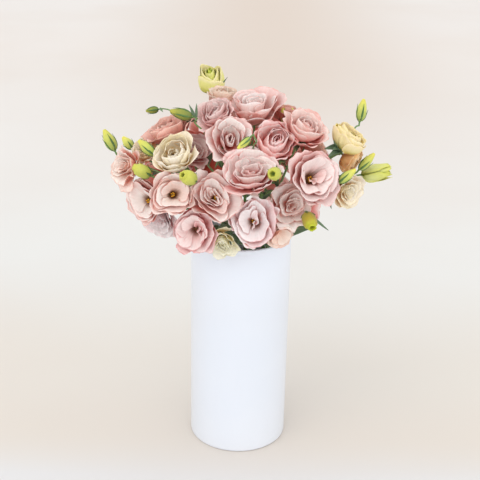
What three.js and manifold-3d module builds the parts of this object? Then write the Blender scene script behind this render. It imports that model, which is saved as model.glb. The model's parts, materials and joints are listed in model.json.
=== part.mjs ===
// A bouquet of double lisianthus in a plain white cylinder vase.
// Units are millimetres. +Z is up, the photographed side faces -Y, and the origin is the centre of the vase's flat underside.
import * as THREE from "three";
import { mergeVertices } from "three/addons/utils/BufferGeometryUtils.js";
import Module from "manifold-3d";

const wasm = await Module();
wasm.setup();
const { Manifold, Mesh: SolidMesh } = wasm;

// ---------------------------------------------------------------- driving dimensions
const VASE_RADIUS = 63.5; // outer radius of the straight round wall
const VASE_HEIGHT = 288;
const VASE_WALL = 4;
const VASE_FLOOR = 6;
const VASE_LIP = 1.6; // rounding of the rim
const VASE_FOOT = 2.4; // rounding at the bottom edge
const VASE_SIDES = 48;

const STEM_RADIUS = 2.5; // cut stem inside the vase
const AXIS_RADIUS = 2.1; // branching part above the rim
const STEM_SIDES = 7;
const STALK_SIDES = 5;
const STALK_STEPS = 6;

const BLOOM_SIDES = 10; // five petal lobes, a step to each tip and each dip
const BLOOM_SHRINK = 0.955; // the solid cup, inside the outermost petal tips
const LOBE = 0.05; // how deep the outline dips between the petals
const BUD_SIDES = 8;
const BUD_SHRINK = 0.97;
const LEAF_THICKNESS = 0.8;
const GAP = 0.3; // between pieces that meet

// A bloom's outline as [radius / R, height / H]: calyx neck, petal cup, gently dished top.
const CUP_PROFILE = [
  [0, 0],
  [0.1, 0.0],
  [0.34, 0.17],
  [0.66, 0.4],
  [0.92, 0.76],
  [0.9, 0.94],
  [0.5, 0.95],
  [0, 0.92],
];
// A closed bud: sepal base, swollen body, pointed twisted tip.
const BUD_PROFILE = [
  [0, 0],
  [0.2, 0.0],
  [0.62, 0.1],
  [0.98, 0.38],
  [0.8, 0.7],
  [0.42, 0.9],
  [0, 1.0],
];
// A bud that has begun to open.
const OPENING_PROFILE = [
  [0, 0],
  [0.14, 0.0],
  [0.55, 0.1],
  [0.88, 0.34],
  [0.98, 0.62],
  [0.9, 0.86],
  [0.6, 0.98],
  [0, 0.97],
];

// ---------------------------------------------------------------- where each piece is
// Blooms: base is the top of the stalk, axis points out of the flower.
const BLOOMS = [
  { name: "bloom_crown", base: [12.38, -24.67, 436.31], axis: [-0.0661, -0.1830, 0.9809], radius: 35.39, height: 35.39, color: 0xe8cdcb },
  { name: "bloom_crown_left", base: [-19.93, 6.63, 440.55], axis: [-0.3944, 0.1951, 0.8980], radius: 28.83, height: 28.83, color: 0xdcc0b4 },
  { name: "bloom_upper_left", base: [-29.63, -45.42, 441.81], axis: [-0.2635, -0.4709, 0.8419], radius: 21.58, height: 21.58, color: 0xcf9fa4 },
  { name: "bloom_centre_left", base: [-17.62, -65.84, 423.4], axis: [0.0773, -0.8596, 0.5051], radius: 27.94, height: 27.94, color: 0xdfb0b2 },
  { name: "bloom_centre_right", base: [29.75, -65.66, 418.75], axis: [0.1965, -0.7070, 0.6794], radius: 25.74, height: 25.74, color: 0xd99a9c },
  { name: "bloom_upper_right", base: [66.63, -40.04, 423.42], axis: [0.2962, -0.4927, 0.8183], radius: 28.42, height: 28.42, color: 0xe3a6a0 },
  { name: "bloom_centre", base: [9.13, -97.98, 389.35], axis: [0.0244, -0.7542, 0.6562], radius: 32.21, height: 32.21, color: 0xe3b6b4 },
  { name: "bloom_right", base: [72.48, -78.45, 385], axis: [0.4239, -0.8341, 0.3529], radius: 33.78, height: 33.78, color: 0xe2c6c8 },
  { name: "bloom_mid_left", base: [-29.86, -91.46, 364.41], axis: [0.0488, -0.8807, 0.4712], radius: 29.01, height: 29.01, color: 0xdcc3c3 },
  { name: "bloom_front", base: [13.75, -95.96, 339.21], axis: [0.0615, -0.9299, 0.3627], radius: 29.25, height: 29.25, color: 0xe8d3d8 },
  { name: "bloom_front_right", base: [53.26, -72.96, 354.09], axis: [0.2558, -0.9392, 0.2292], radius: 24.71, height: 24.71, color: 0xe0a8a2 },
  { name: "bloom_cream", base: [-75.19, -75.41, 408.61], axis: [-0.0502, -0.8907, 0.4518], radius: 24.77, height: 24.77, color: 0xefdfc8 },
  { name: "bloom_behind_cream", base: [-59.44, -52.94, 407.34], axis: [0.2620, -0.8169, 0.5137], radius: 20.17, height: 20.17, color: 0xcfa5a5 },
  { name: "bloom_shoulder_left", base: [-81.35, -44.27, 414.57], axis: [-0.3756, 0.1028, 0.9211], radius: 28.53, height: 28.53, color: 0xdda398 },
  { name: "bloom_peach", base: [-108.95, -28.12, 396.82], axis: [-0.4644, -0.7530, 0.4663], radius: 20.61, height: 20.61, color: 0xe9c0a8 },
  { name: "bloom_far_left", base: [-125.9, -50.76, 386.72], axis: [-0.7800, -0.5847, 0.2232], radius: 23.26, height: 23.26, color: 0xe8b5a6 },
  { name: "bloom_low_left", base: [-105.23, -65.72, 351.78], axis: [-0.4252, -0.8728, 0.2395], radius: 26.44, height: 26.44, color: 0xe6cdcb },
  { name: "bloom_low_left_under", base: [-93.85, -47.84, 330.57], axis: [-0.2478, -0.9190, -0.3066], radius: 24.17, height: 24.17, color: 0xe2bcc6 },
  { name: "bloom_throat_left", base: [-78.01, -99.18, 370.23], axis: [0.0001, -0.9045, 0.4264], radius: 25.95, height: 25.95, color: 0xe6c6c6 },
  { name: "bloom_front_left", base: [-50.99, -91.46, 327.63], axis: [-0.1497, -0.9625, 0.2262], radius: 26.23, height: 26.23, color: 0xe4c2ca },
  { name: "bloom_yellow_rim", base: [-22.4, -89.92, 317.22], axis: [0.0155, -0.9230, -0.3845], radius: 18.35, height: 18.35, color: 0xeee6b4 },
  { name: "bloom_low_right", base: [39.65, -87.24, 328.11], axis: [0.3230, -0.9004, -0.2914], radius: 20.52, height: 20.52, color: 0xe8b8a8 },
  { name: "bloom_far_right", base: [119.34, -38.72, 412.49], axis: [0.2571, -0.5355, 0.8044], radius: 22.07, height: 22.07, color: 0xeedfa4 },
  { name: "bloom_far_right_under", base: [118.99, -30.71, 401.77], axis: [0.7901, -0.3830, -0.4787], radius: 18.46, height: 18.46, color: 0xe2b184 },
  { name: "bloom_low_right_cream", base: [116.78, -61.14, 370.89], axis: [0.4733, -0.8801, 0.0369], radius: 19.57, height: 19.57, color: 0xefd9b8 },
  { name: "bloom_crown_right", base: [48.77, -11.59, 433.51], axis: [0.1408, 0.1702, 0.9753], radius: 20.57, height: 20.57, color: 0xcf9088 },
  { name: "bloom_back_crown", base: [3.79, 48.07, 407.33], axis: [0.0502, 0.5020, 0.8634], radius: 33.00, height: 33.00, color: 0xe0b8b4 },
  { name: "bloom_back_top_left", base: [-39.99, 50.01, 393.89], axis: [-0.3549, 0.7098, 0.6084], radius: 28.00, height: 28.00, color: 0xe0b8b4 },
  { name: "bloom_back_top_right", base: [46.45, 46.15, 396.76], axis: [0.4027, 0.7048, 0.5840], radius: 28.00, height: 28.00, color: 0xe0b8b4 },
  { name: "bloom_side_left_high", base: [-79.41, 16.65, 388.63], axis: [-0.7675, 0.3070, 0.5628], radius: 26.00, height: 26.00, color: 0xe0b8b4 },
  { name: "bloom_side_right_high", base: [75.03, 15.43, 386.85], axis: [0.7317, 0.3049, 0.6097], radius: 25.00, height: 25.00, color: 0xe0b8b4 },
  { name: "bloom_back_centre", base: [0, 84.61, 362], axis: [0.0000, 0.9794, 0.2019], radius: 33.00, height: 33.00, color: 0xe0b8b4 },
  { name: "bloom_back_left", base: [-52.56, 68.51, 360.1], axis: [-0.5097, 0.8359, 0.2039], radius: 31.00, height: 31.00, color: 0xe0b8b4 },
  { name: "bloom_back_right", base: [50.64, 70.46, 359.88], axis: [0.5032, 0.8353, 0.2214], radius: 31.00, height: 31.00, color: 0xe0b8b4 },
  { name: "bloom_side_left", base: [-92.3, 30.77, 356.84], axis: [-0.9376, 0.3327, 0.1008], radius: 29.00, height: 29.00, color: 0xe0b8b4 },
  { name: "bloom_side_right", base: [85.97, 31.38, 350.61], axis: [0.9213, 0.3805, 0.0801], radius: 29.00, height: 29.00, color: 0xe0b8b4 },
  { name: "bloom_back_low_left", base: [-70.81, 42.93, 316.47], axis: [-0.8144, 0.5599, -0.1527], radius: 27.00, height: 27.00, color: 0xe0b8b4 },
  { name: "bloom_back_low_mid_left", base: [-29.42, 72.98, 323.1], axis: [-0.2542, 0.9455, -0.2033], radius: 30.00, height: 30.00, color: 0xe0b8b4 },
  { name: "bloom_back_low_mid_right", base: [27.27, 74.41, 324.05], axis: [0.2542, 0.9455, -0.2033], radius: 31.00, height: 31.00, color: 0xe0b8b4 },
  { name: "bloom_back_low_right", base: [68.47, 42.36, 312.54], axis: [0.8051, 0.5736, -0.1510], radius: 28.00, height: 28.00, color: 0xe0b8b4 },
];
const BUDS = [
  { name: "bud_far_left", base: [-159.87, 18.51, 385.39], axis: [-0.4682, 0.2413, 0.8500], radius: 7.22, height: 29.33, color: 0xc9cf6a },
  { name: "bud_left_upper", base: [-100.9, -77.48, 411.46], axis: [-0.7624, 0.1001, 0.6393], radius: 6.18, height: 25.21, color: 0xc9cf6a },
  { name: "bud_left_round", base: [-105.13, -88.85, 390.29], axis: [-0.8707, -0.0711, 0.4867], radius: 7.65, height: 23.04, color: 0xc9cf6a },
  { name: "bud_left_inner", base: [-54.15, -114.38, 394.26], axis: [-0.4921, -0.7159, 0.4953], radius: 8.33, height: 25.00, color: 0xc9cf6a },
  { name: "bud_centre", base: [37.32, -129.26, 409.04], axis: [-0.2268, -0.9294, 0.2912], radius: 7.49, height: 24.00, color: 0xc9cf6a },
  { name: "bud_right_inner", base: [110.87, -85.51, 385.05], axis: [0.7668, 0.1498, 0.6242], radius: 5.48, height: 24.75, color: 0xc9cf6a },
  { name: "bud_right_large", base: [143.08, -20.13, 373.1], axis: [0.9817, -0.0294, 0.1883], radius: 11.52, height: 37.45, color: 0xdde08a, opening: true },
  { name: "bud_right_tall", base: [146.17, 48.62, 421.17], axis: [0.1681, 0.3755, 0.9114], radius: 6.56, height: 28.75, color: 0xc9cf6a },
  { name: "bud_low_right", base: [74.46, -100.86, 351.47], axis: [0.2109, -0.9321, -0.2945], radius: 8.23, height: 27.00, color: 0xc9cf6a },
  { name: "bud_opening_top", base: [-37.54, 65.1, 449.35], axis: [-0.1506, 0.2818, 0.9476], radius: 15.48, height: 33.95, color: 0xdde08a, opening: true },
];
// Stems: foot on the vase floor, axis from the mouth up, then one stalk to each bloom and bud.
const STEMS = [
  {
    name: "stem_right",
    color: 0x7f9a6c,
    foot: [34.47, -28.93, 6.65],
    axis: [[39.61, 5.57, 282], [43.69, 2.86, 297.6], [47.77, 0.14, 313.2], [51.84, -2.57, 328.8], [55.92, -5.29, 344.4], [60, -8, 360]],
    stalks: [
      { to: "bloom_far_right", radius: 1.35, path: [[60, -8, 360], [70.46, -12.9, 368.52], [80.93, -17.81, 377.04], [91.39, -22.71, 385.56], [101.85, -27.62, 394.08], [112.31, -32.52, 402.6], [117.54, -34.98, 406.86], [119.26, -38.56, 412.25]] },
      { to: "bloom_far_right_under", radius: 1.35, path: [[60, -8, 360], [69.72, -11.64, 368.21], [79.43, -15.28, 376.42], [89.15, -18.92, 384.63], [98.87, -22.56, 392.83], [108.6, -26.2, 401.02], [113.46, -28.02, 405.12], [118.75, -30.59, 401.91]] },
      { to: "bloom_low_right_cream", radius: 1.35, path: [[57.45, -6.3, 350.25], [67.63, -15.15, 353.96], [77.82, -24, 357.67], [88, -32.85, 361.38], [98.19, -41.7, 365.08], [108.37, -50.55, 368.78], [113.47, -54.98, 370.63], [116.64, -60.88, 370.88]] },
      { to: "bud_right_upper", radius: 1.10, path: [[60, -8, 360], [73.56, -14.05, 363.99], [87.12, -20.09, 367.99], [100.66, -26.13, 371.9], [113.88, -32.14, 375.02], [126.82, -37.88, 378.91], [134.66, -41.23, 382.09], [138.3, -40.2, 386], [140.14, -39.68, 387.98]] },
      { to: "bud_right_large", radius: 1.10, path: [[57.45, -6.3, 350.25], [71.95, -8.79, 354.2], [86.44, -11.27, 358.16], [100.94, -13.75, 362.11], [115.44, -16.23, 366.05], [129.94, -18.72, 370], [137.19, -19.96, 371.97], [142.54, -20.11, 373]] },
      { to: "bud_right_inner", radius: 1.10, path: [[60, -8, 360], [68.22, -21.94, 363.79], [76.34, -35.69, 367.53], [84.24, -49.08, 371.17], [91.84, -61.97, 374.67], [99.15, -74.35, 378.03], [106.27, -86.41, 381.31], [110.45, -85.59, 384.71]] },
      { to: "bud_right_tall", radius: 1.10, path: [[60, -8, 360], [77.86, 1.66, 367.41], [95.75, 11.21, 374.94], [110.79, 20.99, 385.13], [122.33, 30.07, 395.82], [133.46, 38.63, 406.39], [144.25, 46.83, 416.82], [145.16, 46.37, 415.7], [146.08, 48.41, 420.67]], steps: 10 },
      { to: "bloom_side_right_high", radius: 1.35, path: [[60, -8, 360], [61.8, -4.13, 364.11], [63.6, -0.26, 368.21], [65.4, 3.61, 372.32], [67.2, 7.48, 376.43], [69, 11.36, 380.53], [69.9, 13.29, 382.59], [74.81, 15.34, 386.67]] },
    ],
    buds: [
      { base: [138.67, -40.1, 386.4], axis: [0.6680, 0.1891, 0.7197], radius: 5.59, height: 26.48 },
    ],
    leaves: [
      { base: [44.51, 2.32, 300.72], tip: [73.51, 26.65, 304.03], normal: [-0.07, -0.06, 1], width: 13 },
      { base: [50.21, -1.49, 322.56], tip: [79.21, 22.85, 325.87], normal: [-0.07, -0.06, 1], width: 13 },
    ],
  },
  {
    name: "stem_right_front",
    color: 0x7f9a6c,
    foot: [7.81, -44.32, 6.65],
    axis: [[33.92, -21.2, 282], [35.54, -22.96, 296], [37.15, -24.72, 310], [38.77, -26.48, 324], [40.38, -28.24, 338], [42, -30, 352]],
    stalks: [
      { to: "bloom_upper_right", radius: 1.35, path: [[42, -30, 352], [46.1, -31.2, 363.95], [50.2, -32.39, 375.89], [54.3, -33.59, 387.84], [58.41, -34.79, 399.78], [62.51, -35.99, 411.72], [64.56, -36.59, 417.7], [66.54, -39.89, 423.18]] },
      { to: "bloom_right", radius: 1.35, path: [[42, -30, 352], [47, -37.75, 357.55], [52, -45.49, 363.11], [57, -53.24, 368.66], [62.01, -60.99, 374.21], [67.01, -68.74, 379.75], [69.51, -72.62, 382.53], [72.35, -78.2, 384.89]] },
      { to: "bloom_crown_right", radius: 1.35, path: [[42, -30, 352], [43.05, -26.87, 365.58], [44.1, -23.75, 379.16], [45.15, -20.62, 392.74], [46.21, -17.48, 406.31], [47.26, -14.35, 419.89], [47.78, -12.79, 426.68], [48.73, -11.64, 433.21]] },
      { to: "bud_low_right", radius: 1.10, path: [[39.98, -27.8, 334.5], [48.74, -41.14, 336.75], [57.75, -54.63, 338.88], [67.14, -68.35, 340.84], [76.7, -82.23, 342.72], [78.35, -92.85, 347.73], [73.19, -95.27, 353.23], [74.34, -100.35, 351.63]] },
    ],
    buds: [
    ],
    leaves: [
      { base: [35.86, -23.31, 298.8], tip: [54.79, -56.1, 302.11], normal: [-0.04, 0.07, 1], width: 13 },
      { base: [38.12, -25.78, 318.4], tip: [63.82, -47.34, 336.24], normal: [-0.36, 0.3, 0.88], width: 13 },
      { base: [35.5, -23, 296], tip: [77.5, -25.5, 301], normal: [0.1, -0.35, 0.93], width: 11 },
    ],
  },
  {
    name: "stem_front_right",
    color: 0x7f9a6c,
    foot: [-22.5, -38.97, 6.65],
    axis: [[12.36, -38.04, 282], [14.29, -38.83, 290.8], [16.22, -39.63, 299.6], [18.15, -40.42, 308.4], [20.07, -41.21, 317.2], [22, -42, 326]],
    stalks: [
      { to: "bloom_front_right", radius: 1.35, path: [[22, -42, 326], [27.36, -46.43, 330.82], [32.72, -50.86, 335.64], [38.07, -55.3, 340.45], [43.43, -59.73, 345.27], [48.79, -64.17, 350.08], [51.47, -66.39, 352.49], [53.18, -72.68, 354.02]] },
      { to: "bloom_low_right", radius: 1.35, path: [[17.18, -40.02, 304], [20.85, -47.46, 308.76], [24.53, -54.89, 313.52], [28.2, -62.33, 318.28], [31.88, -69.77, 323.03], [35.55, -77.22, 327.78], [37.39, -80.94, 330.15], [39.55, -86.97, 328.2]] },
      { to: "bloom_front", radius: 1.35, path: [[19.59, -41.01, 315], [18.45, -49.81, 318.94], [17.31, -58.62, 322.89], [16.17, -67.42, 326.83], [15.03, -76.23, 330.77], [13.89, -85.04, 334.7], [13.32, -89.45, 336.67], [13.73, -95.68, 339.1]] },
    ],
    buds: [
    ],
    leaves: [
      { base: [14.68, -38.99, 292.56], tip: [33.6, -71.77, 295.87], normal: [-0.04, 0.07, 1], width: 13 },
      { base: [17.38, -40.1, 304.88], tip: [46.38, -64.44, 308.19], normal: [-0.07, 0.06, 1], width: 13 },
    ],
  },
  {
    name: "stem_centre",
    color: 0x7f9a6c,
    foot: [34.47, 28.93, 6.65],
    axis: [[1.4, 39.98, 282], [2.32, 28.78, 300], [3.24, 17.58, 318], [4.16, 6.39, 336], [5.08, -4.81, 354], [6, -16, 372]],
    stalks: [
      { to: "bloom_crown", radius: 1.35, path: [[6, -16, 372], [7.25, -17.35, 382.44], [8.49, -18.69, 392.89], [9.73, -20.03, 403.33], [10.98, -21.38, 413.77], [12.22, -22.72, 424.22], [12.84, -23.39, 429.44], [12.4, -24.61, 436.01]] },
      { to: "bloom_centre_right", radius: 1.35, path: [[6, -16, 372], [10.07, -24.13, 379.63], [14.13, -32.26, 387.27], [18.2, -40.39, 394.9], [22.27, -48.52, 402.54], [26.34, -56.65, 410.17], [28.37, -60.71, 413.99], [29.69, -65.45, 418.54]] },
      { to: "bloom_centre", radius: 1.35, path: [[5.42, -9, 360.75], [6.07, -24.22, 365.12], [6.71, -39.44, 369.48], [7.35, -54.65, 373.85], [7.99, -69.87, 378.21], [8.63, -85.09, 382.58], [8.96, -92.71, 384.76], [9.12, -97.76, 389.16]] },
      { to: "bloom_centre_left", radius: 1.35, path: [[6, -16, 372], [1.61, -23.97, 380.7], [-2.78, -31.94, 389.41], [-7.18, -39.9, 398.11], [-11.57, -47.87, 406.81], [-15.96, -55.84, 415.51], [-18.16, -59.83, 419.86], [-17.64, -65.58, 423.25]] },
      { to: "bud_nodding", radius: 1.10, path: [[6, -16, 372], [7.41, -34.24, 384.97], [8.74, -52.33, 397.91], [9.92, -70.06, 410.69], [10.98, -87.18, 423.1], [12.74, -101.84, 434.03], [14.75, -111.86, 441.17], [11.89, -112.34, 445.26], [11.49, -108.9, 447.25], [7.68, -111.55, 444.41], [5.75, -112.89, 442.97]], steps: 10 },
      { to: "bud_centre", radius: 1.10, path: [[6, -16, 372], [12.9, -34.88, 378.01], [20.02, -53.57, 383.96], [27.51, -71.91, 389.83], [35.43, -89.82, 395.63], [43.4, -107.31, 401.42], [38.69, -123.69, 407.29], [37.44, -128.75, 408.88]] },
    ],
    buds: [
      { base: [7.29, -111.82, 444.12], axis: [-0.7006, -0.4863, -0.5222], radius: 4.18, height: 19.00 },
    ],
    leaves: [
      { base: [2.5, 26.54, 303.6], tip: [9.08, 63.82, 306.91], normal: [-0.01, -0.09, 1], width: 13 },
      { base: [3.79, 10.87, 328.8], tip: [10.37, 48.15, 332.11], normal: [-0.01, -0.09, 1], width: 13 },
    ],
  },
  {
    name: "stem_front_left",
    color: 0x7f9a6c,
    foot: [-42.29, -15.39, 6.65],
    axis: [[-14.98, -37.09, 282], [-15.99, -38.47, 291.2], [-16.99, -39.85, 300.4], [-17.99, -41.24, 309.6], [-19, -42.62, 318.8], [-20, -44, 328]],
    stalks: [
      { to: "bloom_mid_left", radius: 1.35, path: [[-20, -44, 328], [-21.86, -51.51, 334.02], [-23.71, -59.01, 340.05], [-25.57, -66.52, 346.07], [-27.42, -74.03, 352.09], [-29.27, -81.54, 358.11], [-30.2, -85.3, 361.11], [-29.87, -91.2, 364.27]] },
      { to: "bloom_yellow_rim", radius: 1.35, path: [[-17.49, -40.54, 305], [-18.4, -48.34, 307.72], [-19.31, -56.15, 310.43], [-20.22, -63.95, 313.14], [-21.13, -71.76, 315.85], [-22.05, -79.56, 318.56], [-22.5, -83.46, 319.91], [-22.4, -89.64, 317.34]] },
      { to: "bloom_front_left", radius: 1.35, path: [[-17.49, -40.54, 305], [-23.39, -48.57, 308.83], [-29.29, -56.6, 312.66], [-35.18, -64.64, 316.49], [-41.09, -72.67, 320.31], [-46.99, -80.7, 324.14], [-49.94, -84.72, 326.05], [-50.94, -91.17, 327.56]] },
    ],
    buds: [
    ],
    leaves: [
      { base: [-16.19, -38.75, 293.04], tip: [-35.12, -71.53, 296.35], normal: [0.04, 0.07, 1], width: 13 },
      { base: [-17.59, -40.68, 305.92], tip: [-46.59, -65.02, 309.23], normal: [0.07, 0.06, 1], width: 13 },
    ],
  },
  {
    name: "stem_left_front",
    color: 0x7f9a6c,
    foot: [-42.29, 15.39, 6.65],
    axis: [[-35.32, -18.78, 282], [-37.45, -21.82, 296.8], [-39.59, -24.87, 311.6], [-41.72, -27.91, 326.4], [-43.86, -30.95, 341.2], [-46, -34, 356]],
    stalks: [
      { to: "bloom_cream", radius: 1.35, path: [[-46, -34, 356], [-51.24, -40.39, 364.99], [-56.49, -46.78, 373.99], [-61.73, -53.18, 382.98], [-66.98, -59.58, 391.96], [-72.22, -65.98, 400.95], [-74.84, -69.18, 405.45], [-75.18, -75.14, 408.47]] },
      { to: "bloom_behind_cream", radius: 1.35, path: [[-46, -34, 356], [-48.78, -36.4, 364.68], [-51.56, -38.8, 373.36], [-54.34, -41.2, 382.04], [-57.11, -43.61, 390.72], [-59.89, -46.01, 399.4], [-61.28, -47.22, 403.74], [-59.52, -52.69, 407.19]] },
      { to: "bloom_throat_left", radius: 1.35, path: [[-44.66, -32.1, 346.75], [-50.73, -43.14, 350.48], [-56.79, -54.18, 354.21], [-62.85, -65.23, 357.94], [-68.92, -76.27, 361.66], [-74.98, -87.32, 365.39], [-78.01, -92.85, 367.25], [-78.01, -98.91, 370.11]] },
      { to: "bud_left_inner", radius: 1.10, path: [[-46, -34, 356], [-47.4, -47.36, 362.56], [-48.93, -60.54, 369.15], [-50.68, -73.39, 375.79], [-52.68, -85.84, 382.48], [-54.74, -97.97, 389.13], [-51.2, -110.09, 391.29], [-53.88, -113.99, 393.99]] },
      { to: "bud_left_upper", radius: 1.10, path: [[-46, -34, 356], [-55.15, -42.02, 365.39], [-64.29, -50.03, 374.78], [-73.44, -58.05, 384.16], [-82.59, -66.06, 393.55], [-91.75, -74.08, 402.93], [-96.32, -78.08, 407.62], [-100.48, -77.54, 411.11]] },
    ],
    buds: [
    ],
    leaves: [
      { base: [-37.88, -22.43, 299.76], tip: [-56.81, -55.21, 303.07], normal: [0.04, 0.07, 1], width: 13 },
      { base: [-40.87, -26.69, 320.48], tip: [-47.44, -63.97, 323.79], normal: [0.01, 0.09, 1], width: 13 },
    ],
  },
  {
    name: "stem_left",
    color: 0x7f9a6c,
    foot: [-22.5, 38.97, 6.65],
    axis: [[-39.13, 8.32, 282], [-43.3, 4.66, 296], [-47.47, 0.99, 310], [-51.65, -2.67, 324], [-55.82, -6.34, 338], [-60, -10, 352]],
    stalks: [
      { to: "bloom_peach", radius: 1.35, path: [[-60, -10, 352], [-68.31, -12.33, 359.56], [-76.61, -14.67, 367.11], [-84.92, -17, 374.67], [-93.23, -19.34, 382.23], [-101.54, -21.68, 389.78], [-105.7, -22.84, 393.56], [-108.81, -27.89, 396.68]] },
      { to: "bloom_far_left", radius: 1.35, path: [[-60, -10, 352], [-70.74, -16.52, 357.89], [-81.35, -22.95, 363.71], [-91.67, -29.21, 369.37], [-101.6, -35.23, 374.82], [-111.15, -41.02, 380.05], [-120.44, -46.66, 385.15], [-125.67, -50.58, 386.65]] },
      { to: "bloom_low_left", radius: 1.35, path: [[-52.17, -3.13, 325.75], [-61.28, -13.4, 330.18], [-70.38, -23.66, 334.62], [-79.48, -33.93, 339.04], [-88.59, -44.2, 343.47], [-97.7, -54.47, 347.89], [-102.26, -59.61, 350.1], [-105.11, -65.46, 351.71]] },
      { to: "bloom_low_left_under", radius: 1.35, path: [[-49.56, -0.84, 317], [-57.3, -8.21, 319.87], [-65.03, -15.58, 322.73], [-72.76, -22.96, 325.59], [-80.51, -30.34, 328.44], [-88.24, -37.72, 331.29], [-92.11, -41.41, 332.72], [-93.77, -47.56, 330.66]] },
      { to: "bloom_shoulder_left", radius: 1.35, path: [[-60, -10, 352], [-63.4, -16.36, 362.2], [-66.81, -22.73, 372.41], [-70.21, -29.09, 382.61], [-73.62, -35.45, 392.82], [-77.02, -41.81, 403.02], [-78.72, -44.99, 408.13], [-81.24, -44.3, 414.3]] },
      { to: "bud_far_left", radius: 1.10, path: [[-60, -10, 352], [-79.41, -4.18, 357.36], [-98.83, 1.63, 362.71], [-118.25, 7.44, 368.07], [-137.66, 13.25, 373.42], [-157.08, 19.06, 378.77], [-157.07, 17.06, 380.29], [-159.61, 18.38, 384.92]], steps: 10 },
      { to: "bud_left_small", radius: 1.10, path: [[-60, -10, 352], [-72.5, -13.01, 360.21], [-85.01, -16.03, 368.42], [-97.51, -19.04, 376.63], [-110.02, -22.04, 384.84], [-122.53, -25.05, 393.05], [-128.78, -26.55, 397.15], [-132.29, -24.96, 401.02], [-134.05, -24.16, 402.97]] },
      { to: "bud_left_round", radius: 1.10, path: [[-60, -10, 352], [-67.25, -24.26, 358.43], [-74.5, -38.52, 364.87], [-81.76, -52.78, 371.3], [-89.01, -67.04, 377.73], [-96.27, -81.3, 384.16], [-99.9, -88.42, 387.37], [-104.65, -88.81, 390.02]] },
      { to: "bloom_side_left_high", radius: 1.35, path: [[-60, -10, 352], [-62.55, -5.55, 357.94], [-65.1, -1.09, 363.89], [-67.65, 3.36, 369.83], [-70.21, 7.82, 375.77], [-72.76, 12.27, 381.72], [-74.04, 14.5, 384.69], [-79.18, 16.56, 388.46]] },
    ],
    buds: [
      { base: [-132.64, -24.8, 401.41], axis: [-0.6423, 0.2911, 0.7090], radius: 5.70, height: 18.78 },
    ],
    leaves: [
      { base: [-44.13, 3.93, 298.8], tip: [-73.13, 28.26, 302.11], normal: [0.07, -0.06, 1], width: 13 },
      { base: [-49.98, -1.21, 318.4], tip: [-78.98, 23.13, 321.71], normal: [0.07, -0.06, 1], width: 13 },
    ],
  },
  {
    name: "stem_back_left",
    color: 0x7f9a6c,
    foot: [7.81, 44.32, 6.65],
    axis: [[-24.63, 31.52, 282], [-24.5, 30.42, 298], [-24.37, 29.31, 314], [-24.25, 28.21, 330], [-24.13, 27.1, 346], [-24, 26, 362]],
    stalks: [
      { to: "bloom_crown_left", radius: 1.35, path: [[-24, 26, 362], [-22.75, 22.23, 375.14], [-21.51, 18.46, 388.28], [-20.27, 14.68, 401.42], [-19.03, 10.91, 414.56], [-17.79, 7.15, 427.7], [-17.17, 5.26, 434.26], [-19.81, 6.57, 440.28]] },
      { to: "bloom_back_left", radius: 1.35, path: [[-24.16, 27.38, 342], [-28.67, 33.8, 345.03], [-33.19, 40.2, 348.07], [-37.7, 46.62, 351.1], [-42.22, 53.04, 354.13], [-46.74, 59.45, 357.16], [-49, 62.66, 358.67], [-52.41, 68.26, 360.03]] },
      { to: "bloom_back_low_left", radius: 1.35, path: [[-24.31, 28.76, 322], [-31.73, 30.62, 321.19], [-39.15, 32.48, 320.39], [-46.57, 34.35, 319.58], [-53.98, 36.21, 318.76], [-61.4, 38.08, 317.95], [-65.11, 39.01, 317.54], [-70.56, 42.76, 316.52]] },
      { to: "bloom_back_low_mid_left", radius: 1.35, path: [[-24.31, 28.76, 322], [-24.92, 35.6, 322.46], [-25.53, 42.43, 322.93], [-26.13, 49.27, 323.38], [-26.74, 56.1, 323.84], [-27.34, 62.94, 324.3], [-27.65, 66.36, 324.53], [-29.35, 72.7, 323.16]] },
      { to: "bloom_side_left", radius: 1.35, path: [[-24.23, 28.07, 332], [-35.41, 28.14, 336.39], [-46.6, 28.2, 340.78], [-57.78, 28.27, 345.17], [-68.96, 28.34, 349.56], [-80.15, 28.41, 353.94], [-85.74, 28.44, 356.13], [-92.02, 30.67, 356.81]] },
      { to: "bloom_back_top_left", radius: 1.35, path: [[-24, 26, 362], [-26.45, 29.46, 367.03], [-28.91, 32.92, 372.05], [-31.37, 36.38, 377.07], [-33.82, 39.85, 382.1], [-36.28, 43.31, 387.12], [-37.51, 45.05, 389.63], [-39.89, 49.8, 393.71]] },
      { to: "bloom_upper_left", radius: 1.35, path: [[-24, 26, 362], [-24.68, 13.62, 375.44], [-25.37, 1.23, 388.89], [-26.06, -11.15, 402.32], [-26.75, -23.54, 415.76], [-27.44, -35.93, 429.2], [-27.78, -42.12, 435.92], [-29.55, -45.27, 441.56]] },
      { to: "bud_arch", radius: 1.10, path: [[-24, 26, 362], [-27.39, 8.16, 375.64], [-30.9, -9.2, 389.23], [-34.68, -25.53, 402.63], [-38.91, -40.35, 415.68], [-43.61, -53.68, 428.39], [-48.91, -65.48, 440.29], [-56.51, -58.85, 445.36], [-53.49, -55.54, 449.59], [-58.75, -55.55, 451.02], [-61.4, -55.55, 451.74]], steps: 16 },
      { to: "bud_arch_tip", radius: 0.90, path: [[-54.54, -57.8, 447.85], [-61.24, -41.09, 443.53], [-70.66, -20.77, 440.52], [-80.9, -5.65, 440.99], [-89.19, 0.86, 443.28], [-97.82, 10.36, 442.31], [-103.7, 13.52, 440.97], [-106.39, 13.06, 440.58]], steps: 10 },
      { to: "bud_opening_top", radius: 1.10, path: [[-24, 26, 362], [-26.27, 32.62, 377.58], [-28.43, 39.1, 392.8], [-30.41, 45.28, 407.27], [-32.12, 51.07, 420.75], [-34.17, 57.06, 432.76], [-36.64, 63.41, 443.66], [-37.46, 64.95, 448.83]] },
    ],
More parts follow.
